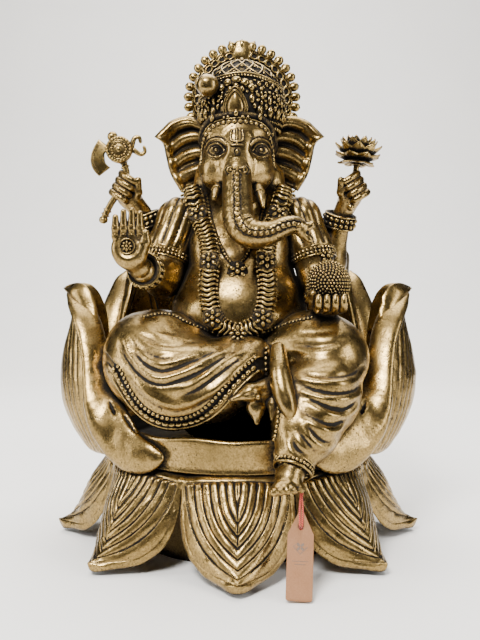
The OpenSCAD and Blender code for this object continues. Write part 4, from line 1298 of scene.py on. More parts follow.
def make_ears():
    """Each ear is a patch between four edges, fluted in waves and thick at its rolled rim."""
    rows, cols = 70, 110
    u, v = np.linspace(0, 1, rows)[:, None], np.linspace(0, 1, cols)[None, :]

    def edge(points, steps):
        return smooth_line([(x, 0, z) for x, z in points], steps)

    upper = edge([(18, 263), (26, 268), (34, 270.5), (43, 268), (48, 263.5), (53.5, 258)], rows)
    lower = edge([(14, 236), (24, 232.5), (30, 230), (38, 226)], rows)
    outer = edge([(53.5, 258), (48, 254), (46, 246), (43.5, 236), (38, 226)], cols)
    inner = edge([(18, 263), (14, 250), (14, 236)], cols)
    flat = ((1 - v)[..., None] * upper[:, None] + v[..., None] * lower[:, None]
            + (1 - u)[..., None] * inner[None] + u[..., None] * outer[None]
            - ((1 - u) * (1 - v))[..., None] * upper[0] - (u * (1 - v))[..., None] * upper[-1]
            - ((1 - u) * v)[..., None] * lower[0] - (u * v)[..., None] * lower[-1])
    # Four round folds fan out from the head, close together at the lobe
    wave = -np.cos(2 * pi * (4 * v ** 0.85 + 0.10 * u))
    wave = np.sign(wave) * np.abs(wave) ** 0.8
    strength = np.sin(pi * np.clip(u * 0.9 + 0.08, 0, 1)) ** 0.6 * np.clip(v / 0.1, 0, 1)
    near_rim = np.minimum(1 - u, v * 1.6)
    rim = groove(near_rim + 0 * v, 0.085)
    roll = groove(np.hypot(1 - u, v * 1.3), 0.28)
    depth = -4.5 - 2.3 * wave * strength - 2.2 * rim + 4.5 * u - 4 * roll + 3 * (1 - u) ** 4
    for side, node in ((-1, "right_ear"), (1, "left_ear")):
        grid = flat.copy()
        grid[..., 0] = side * grid[..., 0] * (1.0 if side > 0 else 0.985) + 0.5
        grid[..., 1] = depth
        shape = slab(grid, 2.6 + 1.3 * rim)
        piece(f"head_{node}", shape, ANTIQUE, [node])
        # Small pendant below the ear
        drop = np.array((side * 33.5, -12, 222.0))
        parts = [flower(drop, (0, -1, 0), 4.0), pebble(drop + [0, -0.5, -5.5], (1.9, 1.6, 3.0)),
                 ball(drop + [0, -0.5, -9.4], 1.1)]
        piece(f"ornament_{node}", joined(parts), PATINATED)


def make_tusks():
    for side, reach, node in ((-1, 0.55, "right_tusk"), (1, 1.0, "left_tusk")):
        root = np.array((side * 12.2, -38, 222.5))
        tip = root + [side * 3 * reach, -8, -12 * reach]
        bend = (root + tip) / 2 + [side * 0.6, -1.0, -1.0]
        line = smooth_line([(*root, 3.0), (*bend, 2.6), (*tip, 1.1 if reach > 0.9 else 2.0)], 24)
        cuff = ring(root * 0.75 + tip * 0.25, tip - root, 3.0, 0.6)
        piece(f"head_{node}", joined([tube(line[:, :3], line[:, 3], 16), cuff]), ANTIQUE, [node])


CROWN_C = np.array((2.5, -7, 276.5))
CROWN_R = np.array((27.2, 27.5, 29.5))


def on_crown(azimuth, height, out=0.0):
    """A point on the crown's dome. Azimuth is in degrees from the front towards its left."""
    a = math.radians(azimuth)
    up = np.array((0, 0, 1)) * (height - CROWN_C[2])
    share = math.sqrt(max(1 - ((height - CROWN_C[2]) / CROWN_R[2]) ** 2, 0))
    around = np.array((math.sin(a), -math.cos(a), 0))
    normal = unit(around * share / CROWN_R[0] + up / CROWN_R[2] ** 2)
    return CROWN_C + around * CROWN_R * share + up + normal * out, normal


def crown_ring(height, out=0.0, steps=90):
    return np.array([on_crown(a, height, out)[0] for a in np.linspace(0, 360, steps, endpoint=False)])


def closed_beads(line, radius, gap=1.04):
    closed = np.concatenate([line, line[:1]])
    length = np.linalg.norm(np.diff(closed, axis=0), axis=1).sum()
    return balls(smooth_line(closed, int(length / (2 * radius * gap)) + 1)[:-1], radius)


def make_crown():
    clay = Clay((-28, -38, 252), (33, 24, 308), 0.7)
    clay.blob(CROWN_C, CROWN_R - 0.5, 0)
    clay.below(257, 2)
    piece("crown_dome", clay.surface(), BLACKENED, ["crown"])
    parts = [closed_beads(crown_ring(261.5, 0.6), 1.45), closed_beads(crown_ring(264.6, 0.4), 1.0)]
    # The rope rim under the open top dips towards the sides
    a = np.linspace(-180, 180, 110)
    dip = 291.3 - 5.5 * np.sin(np.radians(np.minimum(np.abs(a), 90))) ** 2
    rope = np.array([on_crown(k, h, 0.5)[0] for k, h in zip(a, dip)])
    parts += [closed_beads(rope[:-1], 0.95, 1.0), tube(rope + [0, 0, 1.6], 0.6, 8, caps=False)]
    # Leaf buds over the rim, then flowers, then shorter buds and beads up to the rope
    for k in range(22):
        azimuth = 360 / 22 * (k + 0.5)
        place, out = on_crown(azimuth, 269.8, 0.1)
        if min(azimuth, 360 - azimuth) > 12:
            parts.append(pebble(place, (1.6, 2.3, 3.7), aligned(out)))
            parts.append(pebble(place + out * 0.9, (1.1, 1.1, 1.9), aligned(out)))
        place, out = on_crown(azimuth + 8.2, 267.6, 0.2)
        parts.append(ball(place, 1.15))
        place, out = on_crown(azimuth + 8.2, 272.6, 0.2)
        parts.append(pebble(place, (1.1, 1.2, 1.9), aligned(out)))
    for k in range(14):
        azimuth = 360 / 14 * k
        place, out = on_crown(azimuth, 277.6, 0.3)
        # The gem covers the front flower's place
        if k > 0:
            parts.append(flower(place, out, 4.4, 6))
        place, out = on_crown(azimuth + 12.9, 277.0, 0.1)
        parts.append(pebble(place, (1.4, 1.8, 2.9), aligned(out)))
        parts.append(ball(on_crown(azimuth + 12.9, 281.4, 0.3)[0], 1.1))
        parts.append(ball(on_crown(azimuth, 283.0, 0.3)[0], 1.3))
        parts.append(ball(on_crown(azimuth + 6.4, 281.0, 0.2)[0], 0.9))
        parts.append(ball(on_crown(azimuth - 6.4, 281.0, 0.2)[0], 0.9))
    # Crossing bands on the top make a lattice, with a bead in each opening
    for k in range(14):
        for way in (-1, 1):
            climb = np.linspace(0, 1, 16)
            line = [on_crown(360 / 14 * k + way * 39 * c, 292.8 + 12.0 * c, 0.3)[0] for c in climb]
            parts.append(tube(np.array(line), 0.55, 6))
        for low, shift, r in ((294.3, 12.9, 1.0), (298.6, 0, 0.85)):
            parts.append(ball(on_crown(360 / 14 * k + shift, low, 0.0)[0], r))
    for k in range(30):
        place, out = on_crown(12 * k, 286.6, 0.1)
        parts.append(pebble(place, (1.1, 1.5, 1.7), aligned(out)))
        parts.append(ball(on_crown(12 * k + 6, 284.4, 0.1)[0], 1.0))
        parts.append(ball(on_crown(12 * k + 6, 288.4, 0.1)[0], 0.85))
    parts += [flower(CROWN_C + [0, 0, 29.0], (0, 0, 1), 6.0, 8)]
    # A spray of large buds over the gem: one above and one below the middle, and a pair on each level
    spray = [(-7.5, 288.0, (1.8, 3.3, 2.1)), (-7.5, 284.2, (1.7, 1.8, 1.7))]
    for level, left, right, half in ((286.4, -19, 4, (1.8, 2.7, 2.4)), (282.2, -15, 0, (1.6, 1.6, 1.8)),
                                     (283.5, -27, 12, (1.7, 2.2, 2.2))):
        spray += [(left, level, half), (right, level, half)]
    for azimuth, height, half in spray:
        place, out = on_crown(azimuth, height, 1.0)
        parts.append(pebble(place, half, aligned(out)))
    piece("crown_ornament", joined(parts), PATINATED)
    make_gem()


def make_gem():
    """The teardrop gem at the crown's front, inside a raised outline with beads at its foot."""
    place, out = on_crown(-7.5, 272.8, 3.4)
    turn = aligned(out)
    a = np.linspace(0, 2 * pi, 49)[:-1]
    drop = np.stack([0 * a, np.sin(a) * (1 - 0.42 * np.cos(a)) * 0.92, np.cos(a) * 1.3 + 0.12], 1)
    parts = []
    for size, r in ((6.0, 0.7), (7.4, 0.5)):
        line = (turn @ (drop * size).T).T + place + out * 0.4
        parts.append(tube(np.concatenate([line, line[:1]]), r, 8, caps=False))
    t = np.linspace(0, 1, 9)[:, None, None]
    face = drop[None, :, :] * 5.3 * np.cos(t * pi / 2) + np.array((1, 0, 0)) * 2.6 * np.sin(t * pi / 2)
    parts.append(outwards((face.reshape(-1, 3) @ turn.T + place, [grid_quads(9, 48, closed_cols=True)])))
    for across, down, r in ((-4.4, -7.4, 1.5), (0, -8.6, 1.3), (4.4, -7.4, 1.5)):
        parts.append(ball(place + turn @ np.array((0.8, across, down)), r))
    piece("crown_gem", joined(parts), ANTIQUE)


def make_bud():
    c = centre("crown_bud")
    shape = pressed(ball(c, (7, 6.8, 6.6), 24, 36), lambda p, n: 0.25 * noise(p, 6, 2))
    shape = joined([shape, pebble(c + [-5.4, -0.5, 1.6], (2.6, 2.6, 2.6))])
    angles = np.linspace(0, 2 * pi, 10, endpoint=False)
    collar = [ball(c + [5.2 * math.cos(a), 3.2, 5.2 * math.sin(a)], 1.5) for a in angles]
    piece("crown_bud_round", joined([shape] + collar), ANTIQUE, ["crown_bud"])


def make_aureole():
    c = np.array((2.7, 25, 288.5))
    a = np.linspace(0, 2 * pi, 120, endpoint=False)
    profile = [(0.01, -1.6), (26, -1.6), (28, -1.9), (33.2, -1.9), (34.6, -1.4), (34.6, -0.6),
               (33.4, -0.2), (33.0, 1.5), (28, 1.5), (26.5, 0.4), (0.01, 0.2)]
    points = [c + np.stack([r * np.sin(a), 0 * a - out, r * np.cos(a)], 1) for r, out in profile]
    disc = outwards((np.concatenate(points), [grid_quads(len(profile), 120, closed_cols=True)]))
    # The disc's front face is darkened all over
    piece("aureole_disc", disc, ANTIQUE, ["aureole"], patina_and_shade=lambda p: 2.0 * (p[:, 1] < c[1] + 0.5))
    parts = []
    # A chain of oval links, with a bead in each
    for k in range(34):
        t = 2 * pi * (k + 0.5) / 34
        place = c + [30.3 * math.sin(t), -2.0, 30.3 * math.cos(t)]
        turn = turn_y(math.degrees(t))
        link = ring((0, 0, 0), (0, -1, 0), 2.0, 0.55, 16)
        parts.append(moved((link[0] * [1.32, 1, 0.95], link[1]), turn, place))
    circle = np.append(a, a[0])
    for r, wire in ((26.6, 0.7), (33.6, 0.5)):
        around = c + np.stack([r * np.sin(circle), 0 * circle - 1.9, r * np.cos(circle)], 1)
        parts.append(tube(around, wire, 8, caps=False))
    # Pointed buds stand round the rim, and a wider one of three lobes stands at the top
    for k in range(-10, 11):
        t = math.radians(10.8 * k)
        turn = turn_y(math.degrees(t))
        if k == 0:
            up = np.linspace(0, 1, 14)
            rounded = np.sqrt(np.maximum(1 - ((up - 0.8) / 0.2).clip(0) ** 2, 0))
            half = np.minimum(7.2 - 2.6 * up, 0.5 + 4.1 * rounded + 9 * (up < 0.8))
            wide = tube(np.stack([0 * up, 0 * up, 31.6 + 8.8 * up], 1), half, 20, 0.34, (0, 1, 0))
            sides = [pebble((7.4 * way, 0.3, 36.0), (1.6, 1.6, 4.0), turn_y(16 * way)) for way in (-1, 1)]
            bud = joined([wide, pebble((0, -0.6, 37), (2.2, 2.0, 3.4))] + sides)
        else:
            up = np.linspace(0, 1, 16)
            radius = 3.15 * np.sqrt(np.clip(1 - np.abs((2 * up - 0.9) / 1.1) ** 2.2, 0.01, 1))
            bud = joined([tube(np.stack([0 * up, 0 * up, 33.3 + 6.4 * up], 1), radius, 16, 0.8, (0, 1, 0)),
                          pebble((0, -1.6, 35.0), (1.3, 0.9, 1.6))])
        parts.append(moved(bud, turn, c + [0, -0.9, 0]))
    piece("aureole_chain_and_buds", joined(parts), PATINATED)


# ---------------------------------------------------------------- figure: arms, hands and what they hold

def sleeve(place, facing, radius, height, rows, bead, wire=0.7):
    """A bangle: a smooth sleeve with a wire at each edge and rows of beads between."""
    turn = aligned(facing)
    half = height / 2
    a = np.linspace(0, 2 * pi, 48, endpoint=False)
    profile = [(-half, radius - 3.0), (-half, radius - 1.2), (-half + 0.6, radius - 0.7),
               (half - 0.6, radius - 0.7), (half, radius - 1.2), (half, radius - 3.0)]
    points = np.concatenate([np.stack([x + 0 * a, r * np.cos(a), r * np.sin(a)], 1) for x, r in profile])
    inner = outwards((points, [grid_quads(len(profile), 48, True, True)]))
    parts = [ring((x, 0, 0), (1, 0, 0), radius - 0.6, wire, 48) for x in (-half + wire, half - wire)]
    for x in (np.arange(rows) - (rows - 1) / 2) * (height - 4 * wire) / max(rows, 1):
        circle = np.stack([x + 0 * a, (radius - 0.5) * np.cos(a), (radius - 0.5) * np.sin(a)], 1)
        parts.append(closed_beads(circle, bead, 1.12))
    return moved(inner, turn, place), moved(joined(parts), turn, place)


def make_arms():
    lines = {"right_front": [(-38, -3, 206), (-45, -8, 186), (-48, -13, 168), (-56, -44, 172)],
             "right_back": [(-38, 9, 203), (-50, 15, 188), (-56, 15, 183), (-61, 6, 205)],
             "left_front": [(40, -3, 206), (47, -8, 186), (51, -12, 167), (53, -32, 155)],
             "left_back": [(40, 9, 203), (55, 15, 184), (62, 15, 178), (67, 6, 205)]}
    front, back = (14.5, 12.6, 11.4, 7.8), (12, 10.5, 9.5, 7)
    for name, line in lines.items():
        points = np.array(line, float)
        low, high = points.min(0) - 20, points.max(0) + 20
        clay = Clay(low, high, 0.7)
        radii = front if "front" in name else back
        clay.limb(points, radii, 7)

        def cloth(p, n):
            # A shawl over the shoulder hangs in long folds
            over = np.clip((p[:, 2] - 184) / 8, 0, 1) if "front" in name else 0 * p[:, 0]
            side = -1 if "right" in name else 1
            run = p[:, 0] * side + 0.35 * (p[:, 2] - 200)
            fold = 1.3 * (np.abs(np.sin(run * pi / 7.4)) ** 0.7 - 0.6)
            return over * fold * np.clip(-n[:, 1] * 1.3 + 0.6, 0, 1) + 0.14 * noise(p, 12, 9)

        piece(f"arm_{name}", pressed(clay.surface(), cloth), ANTIQUE, [f"{name}_arm"])
    for name, x, way in (("right", -46, -1), ("left", 48.5, 1)):
        place = np.array((x, -9, 182), float)
        band, beads = sleeve(place, (way * 4, -5, -18), 14.6, 7.5, 2, 1.15)
        piece(f"ornament_{name}_armlet_band", band, BLACKENED)
        outward = np.array((way * 7.5, -12.6, 0.0))
        boss = flower(place + outward, outward, 5.0, 8)
        piece(f"ornament_{name}_armlet", joined([beads, boss]), PATINATED, [f"{name}_armlet"])
    for name, place, facing, radius, height in (
            ("right_front", (-55.5, -42.5, 172.5), (-8, -31, 5), 10.8, 8.5),
            ("right_back", (-61, 5.5, 206), (-7, -4, 22), 10.6, 9.5),
            ("left_front", (52.8, -29, 157), (1, -20, -12), 11, 8),
            ("left_back", (67, 5.5, 206), (5, -8, 26), 10.6, 9.5)):
        band, beads = sleeve(place, facing, radius, height, 2, 1.55)
        piece(f"ornament_{name}_bangle_band", band, BLACKENED)
        piece(f"ornament_{name}_bangle", beads, PATINATED, [f"{name}_bangle"])


def make_blessing_hand():
    clay = Clay((-78, -68, 168), (-44, -42, 212), 0.45)
    clay.limb([(-55.0, -48, 174), (-60, -53, 180)], (7, 6.8), 3)
    clay.blob((-61, -55, 185), (10.2, 4.6, 11), 4)
    clay.blob((-54.5, -56, 182.5), (4.2, 4.0, 6.5), 3)
    clay.blob((-61, -60.5, 187), (5.4, 2.2, 6.0), 3, cut_out=True)
    # Four fingers from the little one, each up to its own height
    for i, tip in enumerate((203.4, 206.4, 207.2, 205.4)):
        x = -68.2 + 4.75 * i
        clay.limb([(x, -56, 192), (x + 0.1, -57.2, 197), (x + 0.2, -58.0, tip)], (2.55, 2.35, 1.8), 1.0)
    clay.limb([(-53.5, -55, 183), (-50.3, -57, 189), (-50.2, -58, 194)], (3.4, 2.7, 2.0), 2)
    shape = clay.surface()
    # A rosette in relief on the palm, and a crease at each finger joint
    palm = np.array((-61.3, -59.6, 186.5))
    parts = [shape, flower(palm, (0, -1, 0.05), 3.4, 8), ring(palm, (0, -1, 0.05), 4.4, 0.45, 28)]
    for i in range(4):
        for z in (193.3, 198.2):
            x = -68.2 + 4.75 * i
            parts.append(tube([(x - 1.5, -59.2, z), (x, -60.0, z + 0.3), (x + 1.5, -59.2, z)], 0.3, 6))
    piece("hand_blessing", moved(joined(parts), None, (-3.2, 0, 0)), ANTIQUE, ["right_front_hand"])


def make_fist(name, wrist, p, side):
    """A fist closed round a leaning shaft, the forefinger nearest the head."""
    p = np.array(p, float)
    lean = turn_y(-28 * side)
    clay = Clay(np.minimum(wrist, p) - 18, np.maximum(wrist, p) + 20, 0.45)

    def at(x, y, z):
        return p + lean @ np.array((x * side, y, z), float)

    clay.limb([wrist, p - [0, 0, 5]], (6.2, 7.2), 3)
    clay.blob(at(1.0, 2.2, 0), (7.6, 6.0, 8.8), 4, lean)
    for i in range(4):
        z = 7.2 - i * 4.5
        points = [at(8.6, 1, z + 0.8), at(8.4, -4.2, z), at(3.5, -8.4, z - 0.5), at(-1.5, -8.6, z - 0.9),
                  at(-3.8 + 0.5 * i, -5.6, z - 0.9)]
        clay.limb(smooth_line(points, 12), np.linspace(2.55, 2.0, 12), 0.3)
    clay.limb([at(-6.5, -1, -4), at(-6.8, -5.5, 1.5), at(-3.5, -8.5, 8.5)], (3.0, 2.5, 2.0), 1.2)
    piece(f"hand_{name}", clay.surface(), ANTIQUE, [f"{name}_hand"])


def make_giving_hand():
    clay = Clay((40, -76, 138), (72, -28, 166), 0.45)
    clay.limb([(53, -34, 154), (54, -46, 151)], (7.2, 7), 3)
    clay.blob((54.5, -51, 150.2), (9.6, 9, 4.6), 4)
    for i in range(4):
        x = 46.6 + 4.9 * i
        points = [(x * 0.9 + 5.4, -52, 149.5), (x, -60, 150.4), (x, -64.4, 153.0), (x + 0.1, -64.2, 157.0)]
        clay.limb(smooth_line(points, 12), np.linspace(2.7, 1.9, 12), 0.6)
    clay.limb([(45.5, -46, 151), (43.8, -54, 155), (44, -59, 159)], (3.2, 2.6, 2.0), 1.6)
    piece("hand_giving", clay.surface(), ANTIQUE, ["left_front_hand"])


def make_sweet():
    """A round sweet covered with a net of small balls."""
    c, r = np.array((54.0, -48, 165)), 12.9
    piece("sweet_core", ball(c, r - 0.5, 24, 36), BLACKENED)
    parts = []
    rows = 21
    for k in range(rows + 1):
        tilt = pi * k / rows
        s = math.sin(tilt)
        count = max(1, int(round(2 * pi * r * s / 1.95)))
        for j in range(count):
            a = 2 * pi * j / count
            out = np.array((s * math.cos(a), -math.cos(tilt), s * math.sin(a)))
            parts.append(ball(c + r * out, 0.82, 4, 7))
    piece("sweet_ball", joined(parts), PATINATED, ["modak"])


def make_axe():
    head = np.array((-75.0, -6, 247))
    shaft = smooth_line([(-87, -6, 206), (-82, -6, 216), (-72, -6, 232), (-75, -6, 247)], 30)
    parts = [tube(shaft, 2.1, 12), ball((-87, -6, 205.6), (3.0, 3.0, 2.6), 10, 14)]
    parts += [ring(shaft[k], shaft[k + 1] - shaft[k], 2.3, 0.6) for k in (2, 4, 24, 26)]
    c = head + [-1, -3, 3]
    a = np.linspace(0, 2 * pi, 48, endpoint=False)
    profile = [(0.01, 2.2), (7.6, 2.4), (8.6, 1.4), (8.6, -1.6), (7.6, -2.4), (0.01, -2.2)]

    def circle(radius, out):
        return c + np.stack([radius * np.cos(a), 0 * a - out, radius * np.sin(a)], 1)

    points = np.concatenate([circle(r, out) for r, out in profile])
    parts.append(outwards((points, [grid_quads(len(profile), 48, closed_cols=True)])))
    for face in (-1, 1):
        for r, bead in ((7.3, 0.95), (4.6, 0.8)):
            parts.append(closed_beads(circle(r, -face * 2.5), bead))
        parts.append(ball(c + [0, face * 2.3, 0], (2.1, 1.2, 2.1)))
        parts.append(ring(c + [0, face * 2.4, 0], (0, -1, 0), 6.0, 0.4, 40))
    # The crescent blade, thin at its edge
    t = np.linspace(-1, 1, 40)[:, None]
    u = np.linspace(0, 1, 14)[None, :]
    edge_x, edge_z = -19.2 + 5.2 * t ** 2, -5.0 + 11.6 * t + 1.4 * t ** 2
    root_x, root_z = -9.0 + 1.4 * t ** 2 - 2.5 * (1 - t ** 2), -3.6 + 5.5 * t
    x, z = root_x + (edge_x - root_x) * u, root_z + (edge_z - root_z) * u
    blade = np.stack([head[0] + x, head[1] - 3 + 0 * x, head[2] + z + 1.5], -1)
    parts.append(slab(blade, 2.6 - 2.1 * u + 0 * t))
    for share in (0.78, 0.88):
        line = np.stack([head[0] + (root_x + (edge_x - root_x) * share)[:, 0], np.full(40, head[1] - 3.8),
                         head[2] + 1.5 + (root_z + (edge_z - root_z) * share)[:, 0]], 1)
        parts.append(tube(line[3:-3], 0.28, 6))
    parts += [ball((-80.5, -7, 258.6), 3.4, 12, 16), ring((-79.8, -7, 256), (0.3, 0, 1), 2.3, 0.8)]
    for hook, r in (([(-68.5, -7, 252), (-66.5, -7, 257.5), (-63.5, -7, 258.2), (-62.6, -7, 255.4)], 1.6),
                    ([(-67, -7, 250), (-62.5, -7, 247.4), (-59.8, -7, 249), (-60.3, -7, 252)], 1.5)):
        line = smooth_line(hook, 20)
        parts.append(tube(line, np.linspace(r * 1.2, r * 0.7, 20), 10))
    piece("axe_head", joined(parts), PATINATED, ["axe"])


# The lotus flower's petals tier by tier: how many, how far they lean out, how long and how wide
LOTUS_TIERS = ((7, 122, 12.0, 4.6), (8, 92, 13.6, 4.8), (9, 68, 14.6, 4.8),
               (9, 48, 13.4, 4.5), (8, 28, 12.0, 4.0), (6, 12, 10.5, 3.2))


def make_lotus():
    foot, head = np.array((73.0, -4, 214)), np.array((77.0, -4, 244))
    stem = smooth_line([foot, (74, -4, 226), (76, -4, 236), head], 24)
    parts = [tube(stem, 1.9, 12), ball(foot, 2.6), ring(stem[-3], (0.2, 0, 1), 2.6, 0.8)]
    heart = head + [0, 0, 1.5]
    parts.append(pebble(heart + [0, 0, 2], (6.2, 6.2, 5.6)))
    t = np.linspace(0, 1, 14)[:, None]
    s = np.linspace(-1, 1, 9)[None, :]
    for tier, (count, lean, long, wide) in enumerate(LOTUS_TIERS):
        out = 3.0 + long * t * math.sin(math.radians(lean)) * (1 - 0.12 * t)
        up = -1.0 + long * t * math.cos(math.radians(lean)) + 3.4 * t ** 2.2
        half = wide * np.sin(pi * np.clip(0.14 + 0.86 * t, 0, 1)) ** 0.8 + 0.15
        x = out - 0.9 * s ** 2 * half / wide
        stand = up + 0.9 * s ** 2 * half / wide + 0.45 * groove(s, 0.16)
        petal = np.stack([x + 0 * s, half * s, stand], -1)
        for k in range(count):
            turn = turn_y(6) @ turn_z(360 * k / count + 17 * tier - 90)
            parts.append(moved(slab(petal, 1.5 - 0.5 * t + 0 * s), turn, heart))
    piece("lotus_petals", joined(parts), PATINATED, ["lotus_flower"])


# ---------------------------------------------------------------- garland and necklace

def make_garland():
    half = [(-29, -14, 224), (-25, -27, 209), (-19, -36, 193), (-17, -44, 178),
            (-18, -49, 160), (-13.5, -50, 142), (0, -51, 134)]
    cores, parts = [], []
    for side in (-1, 1):
        rough = smooth_line([(-side * x, y, z) for x, y, z in half], 140)
        shown = rough.copy()
        skin = front_of([TORSO, HEAD], rough[:, 0], rough[:, 2])
        near = np.minimum(skin - 1.6, rough[:, 1] + 5)
        shown[:, 1] = np.where(rough[:, 2] < 214, near, rough[:, 1] - 1.5)
        kernel = np.ones(9) / 9
        shown[:, 1] = np.convolve(np.pad(shown[:, 1], 4, mode="edge"), kernel, "valid")
        line = smooth_line(shown[::6], 38)
        cores.append(tube(line + [0, 1.2, 0], 3.6, 12))
        along = unit(np.gradient(line, axis=0))
        out = np.tile(np.array((side * 0.12, -1.0, 0.15)), (len(line), 1))
        across = unit(np.cross(along, out))
        out = unit(np.cross(across, along))
        out *= np.sign(-out[:, 1:2])
        s = np.linspace(-1, 1, 11)[:, None]
        for k, (p, f, r, o) in enumerate(zip(line, along, across, out)):
            wave = 0.3 * math.sin(k * 1.7)
            arch = o * (3.2 * (1 - s ** 2) ** 0.6 - 0.2)
            bar = p + r * s * 5.2 + arch + f * (0.8 * np.cos(s * 4.2) + wave * s)
            parts.append(tube(bar, 1.02 * (1 - 0.3 * s[:, 0] ** 4), 8, 1.0, f))
            for end in (-1, 1):
                parts.append(ball(p + r * end * 5.3 - f * 0.4, 1.15, 6, 8))
        for share in (0.20, 0.52, 0.86):
            k = int(share * (len(line) - 1))
            place = line[k] + out[k] * 3.6
            parts.append(flower(place + out[k] * 0.5, out[k], 5.6, 6))
            cores.append(pebble(place - out[k] * 0.6, (1.3, 6.4, 6.4), aligned(out[k]), 8, 24))
    # A fan of tassels hangs at the bottom
    low = np.array((MID + 1.2, -56.0, 135.0))
    for k in range(-3, 4):
        a = math.radians(15 * k)
        tip = low + [9.5 * math.sin(a), 1.2 - 0.5 * abs(k), -9.5 * math.cos(a) + 1]
        tassel = smooth_line([low, (low + tip) / 2 + [0, -0.9, 0], tip], 10)
        parts.append(tube(tassel, np.linspace(1.0, 1.55, 10), 8))
    parts.append(flower(low + [0, -1.4, 0.5], (0, -1, 0.1), 5.4, 8))
    piece("garland_cord", joined(cores), BLACKENED, ["garland"])
    piece("garland_flowers", joined(parts), PATINATED)


def make_necklace():
    half = [(-20, 221), (-17.5, 207), (-12.5, 192), (-7, 181), (MID, 176)]
    arch = half + [(2 * MID - x, z) for x, z in reversed(half[:-1])]
    line = laid([TORSO, HEAD], arch, 1.0, 120)
    piece("ornament_necklace", bead_row(line, 0.95, 1.2), PATINATED, ["bead_necklace"])
    piece("ornament_necklace_cord", tube(line + [0, 0.9, 0], 1.4, 8), BLACKENED)
    c = laid([TORSO], [(MID + 1, 172), (MID + 1, 171)], 1.6, 4)[0]
    parts = [flower(c, (0, -1, 0.05), 6.0, 6)]
    for x in (-3, 3):
        parts += [ball(c + [x, -0.4, -7.4], 2.0), ball(c + [x * 1.9, 0.4, 3.4], 1.2)]
    backing = pebble(c + [0, 1.2, -1.5], (1.2, 6.6, 8.2), aligned((0, -1, 0.05)), 8, 24)
    piece("ornament_pendant_backing", backing, BLACKENED)
    piece("ornament_pendant", joined(parts), PATINATED, ["necklace_pendant"])


# ---------------------------------------------------------------- hanging tag

TAG_TOP = np.array((34.6, -98.5, 43.4))
TAG_TURN = turn_x(90 - 28.5) @ turn_z(-3.5)


def make_tag():
    """A card with a pointed top and a punched hole, a little thinner at its edges."""
    wide, long, thick, hole_down, shoulder, corner = 7.0, 48.0, 0.8, 10.0, 14.0, 1.4
    outline = [(0.0, -0.4), (0.8, -0.9)]
    outline += [(wide - 0.5, -shoulder + 1.1), (wide - 0.1, -shoulder + 0.3), (wide, -shoulder - 0.6)]
    outline += [(wide - corner + corner * math.cos(t), -long + corner - corner * math.sin(t))
                for t in np.linspace(0, pi / 2, 7)]
    outline += [(-x, y) for x, y in reversed(outline[1:])]
    outline = np.array(outline)
    dense = []
    for a, b in zip(outline, np.roll(outline, -1, 0)):
        steps = max(1, int(np.linalg.norm(b - a) / 1.2))
        dense += [a + (b - a) * k / steps for k in range(steps)]
    dense = np.array(dense)
    middle = np.array((0, -hole_down))
    angle = np.arctan2(dense[:, 1] - middle[1], dense[:, 0] - middle[0])
    inner = middle + np.stack([1.45 * np.cos(angle), 1.75 * np.sin(angle)], 1)
    shares = [0.0, 0.25, 0.6, 0.97, 1.0]
    count = len(dense)
    layers, heights = [], []
    for face in (1, -1):
        for share in shares[::face]:
            flat = inner + (dense - inner) * share
            layers.append(flat)
            heights.append(np.full(count, face * thick / 2 * (1 if 0 < share < 1 else 0.82)))
    points = np.concatenate([np.column_stack([f, h]) for f, h in zip(layers, heights)])
    shape = outwards((points, [grid_quads(len(layers), count, True, True)]))
    piece("tag_card", moved(shape, TAG_TURN, TAG_TOP), CARD, ["tag"], TAG, False)
    # A plain printed mark: four petals in a double square, and two rules under it
    marks = []
    place = (0, -20.5, thick / 2)
    for k in range(4):
        marks.append(moved(pebble((0, 1.45, 0), (0.75, 1.2, 0.06)), turn_z(90 * k + 45), place))
    a = np.linspace(0, 2 * pi, 5)[:, None] + pi / 2
    for r in (3.4, 4.0):
        square = np.concatenate([r * np.sin(a), r * np.cos(a), 0 * a], 1) + place
        marks.append(tube(square, 0.14, 6, 0.4))
    for y, reach in ((-28.0, 4.2), (-29.6, 2.8)):
        marks.append(tube([(-reach, y, thick / 2), (reach, y, thick / 2)], 0.16, 6, 0.4))
    piece("tag_mark", moved(joined(marks), TAG_TURN, TAG_TOP), INK, (), TAG, False)


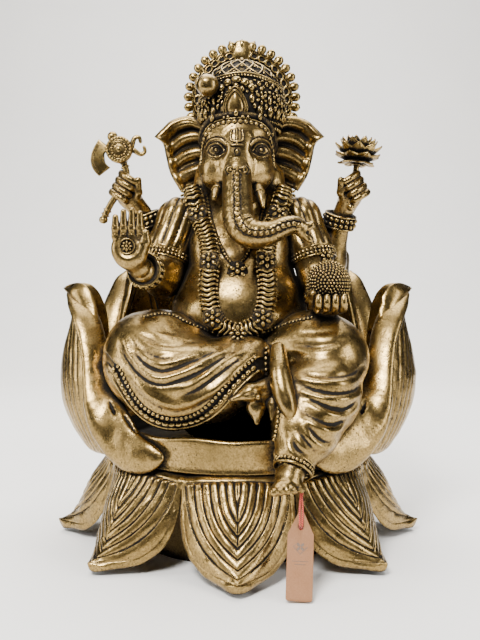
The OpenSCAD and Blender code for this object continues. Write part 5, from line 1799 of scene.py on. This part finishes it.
# The thread starts and ends under the toe ring, and passes through the tag's hole
THREAD_ROUTE = [
    (34.3, -97, 51.9), (34.1, -97.8, 49.6), (33.8, -98.8, 47), (33.6, -99.9, 44.3), (33.4, -101.2, 41.5),
    (33.4, -102.6, 38.9), (33.3, -103.8, 36.7), (33.3, -103.9, 35.2), (33.3, -102.8, 34.3),
    (33, -101.3, 33.4), (32.6, -99.8, 32.6), (32.9, -98.3, 31.9), (34, -97.5, 31.6),
    (35.2, -98.2, 31.9), (35.5, -99.8, 32.6), (35, -101.3, 33.4), (34.7, -102.8, 34.3),
    (34.6, -103.9, 35.2), (34.7, -103.8, 36.7), (34.9, -102.6, 38.9), (35.1, -101.2, 41.5),
    (35.1, -99.9, 44.3), (35, -98.8, 47), (34.9, -97.8, 49.6), (35.5, -97, 51.9)]


def make_thread():
    curve = bpy.data.curves.new("thread_line", "CURVE")
    curve.dimensions = "3D"
    line = smooth_line(THREAD_ROUTE, 120)
    spline = curve.splines.new("POLY")
    spline.points.add(len(line) - 1)
    for point, p in zip(spline.points, line):
        point.co = (*(p * MM), 1)
    curve.bevel_depth = 0.0005
    curve.bevel_resolution = 3
    curve.use_fill_caps = True
    curve.materials.append(THREAD)
    cord = bpy.data.objects.new("thread", curve)
    bpy.context.scene.collection.objects.link(cord)
    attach(cord, TAG)
    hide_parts("tag_thread")


add_camera()
make_tag()
make_thread()

# The forms that ornament is laid on
TORSO = model_torso()
RIGHT_LEG = model_right_leg()
LEFT_LEG = model_left_leg()
HEAD = model_head()
add_studio()
make_lower_petals()
make_throne_petals()
make_seat()
finish_base_castings()
make_torso()
make_right_leg()
make_left_leg()
make_left_foot()
make_dhoti_end()
make_sash()
make_belt()
make_head()
make_trunk()
make_ears()
make_tusks()
make_crown()
make_bud()
make_aureole()
make_arms()
make_blessing_hand()
make_fist("right_back", np.array((-63.0, 4, 211)), (-71, 0, 225), -1)
make_fist("left_back", np.array((69.0, 4, 211)), (73, 0, 225), 1)
make_giving_hand()
make_sweet()
make_axe()
make_lotus()
make_garland()
make_necklace()
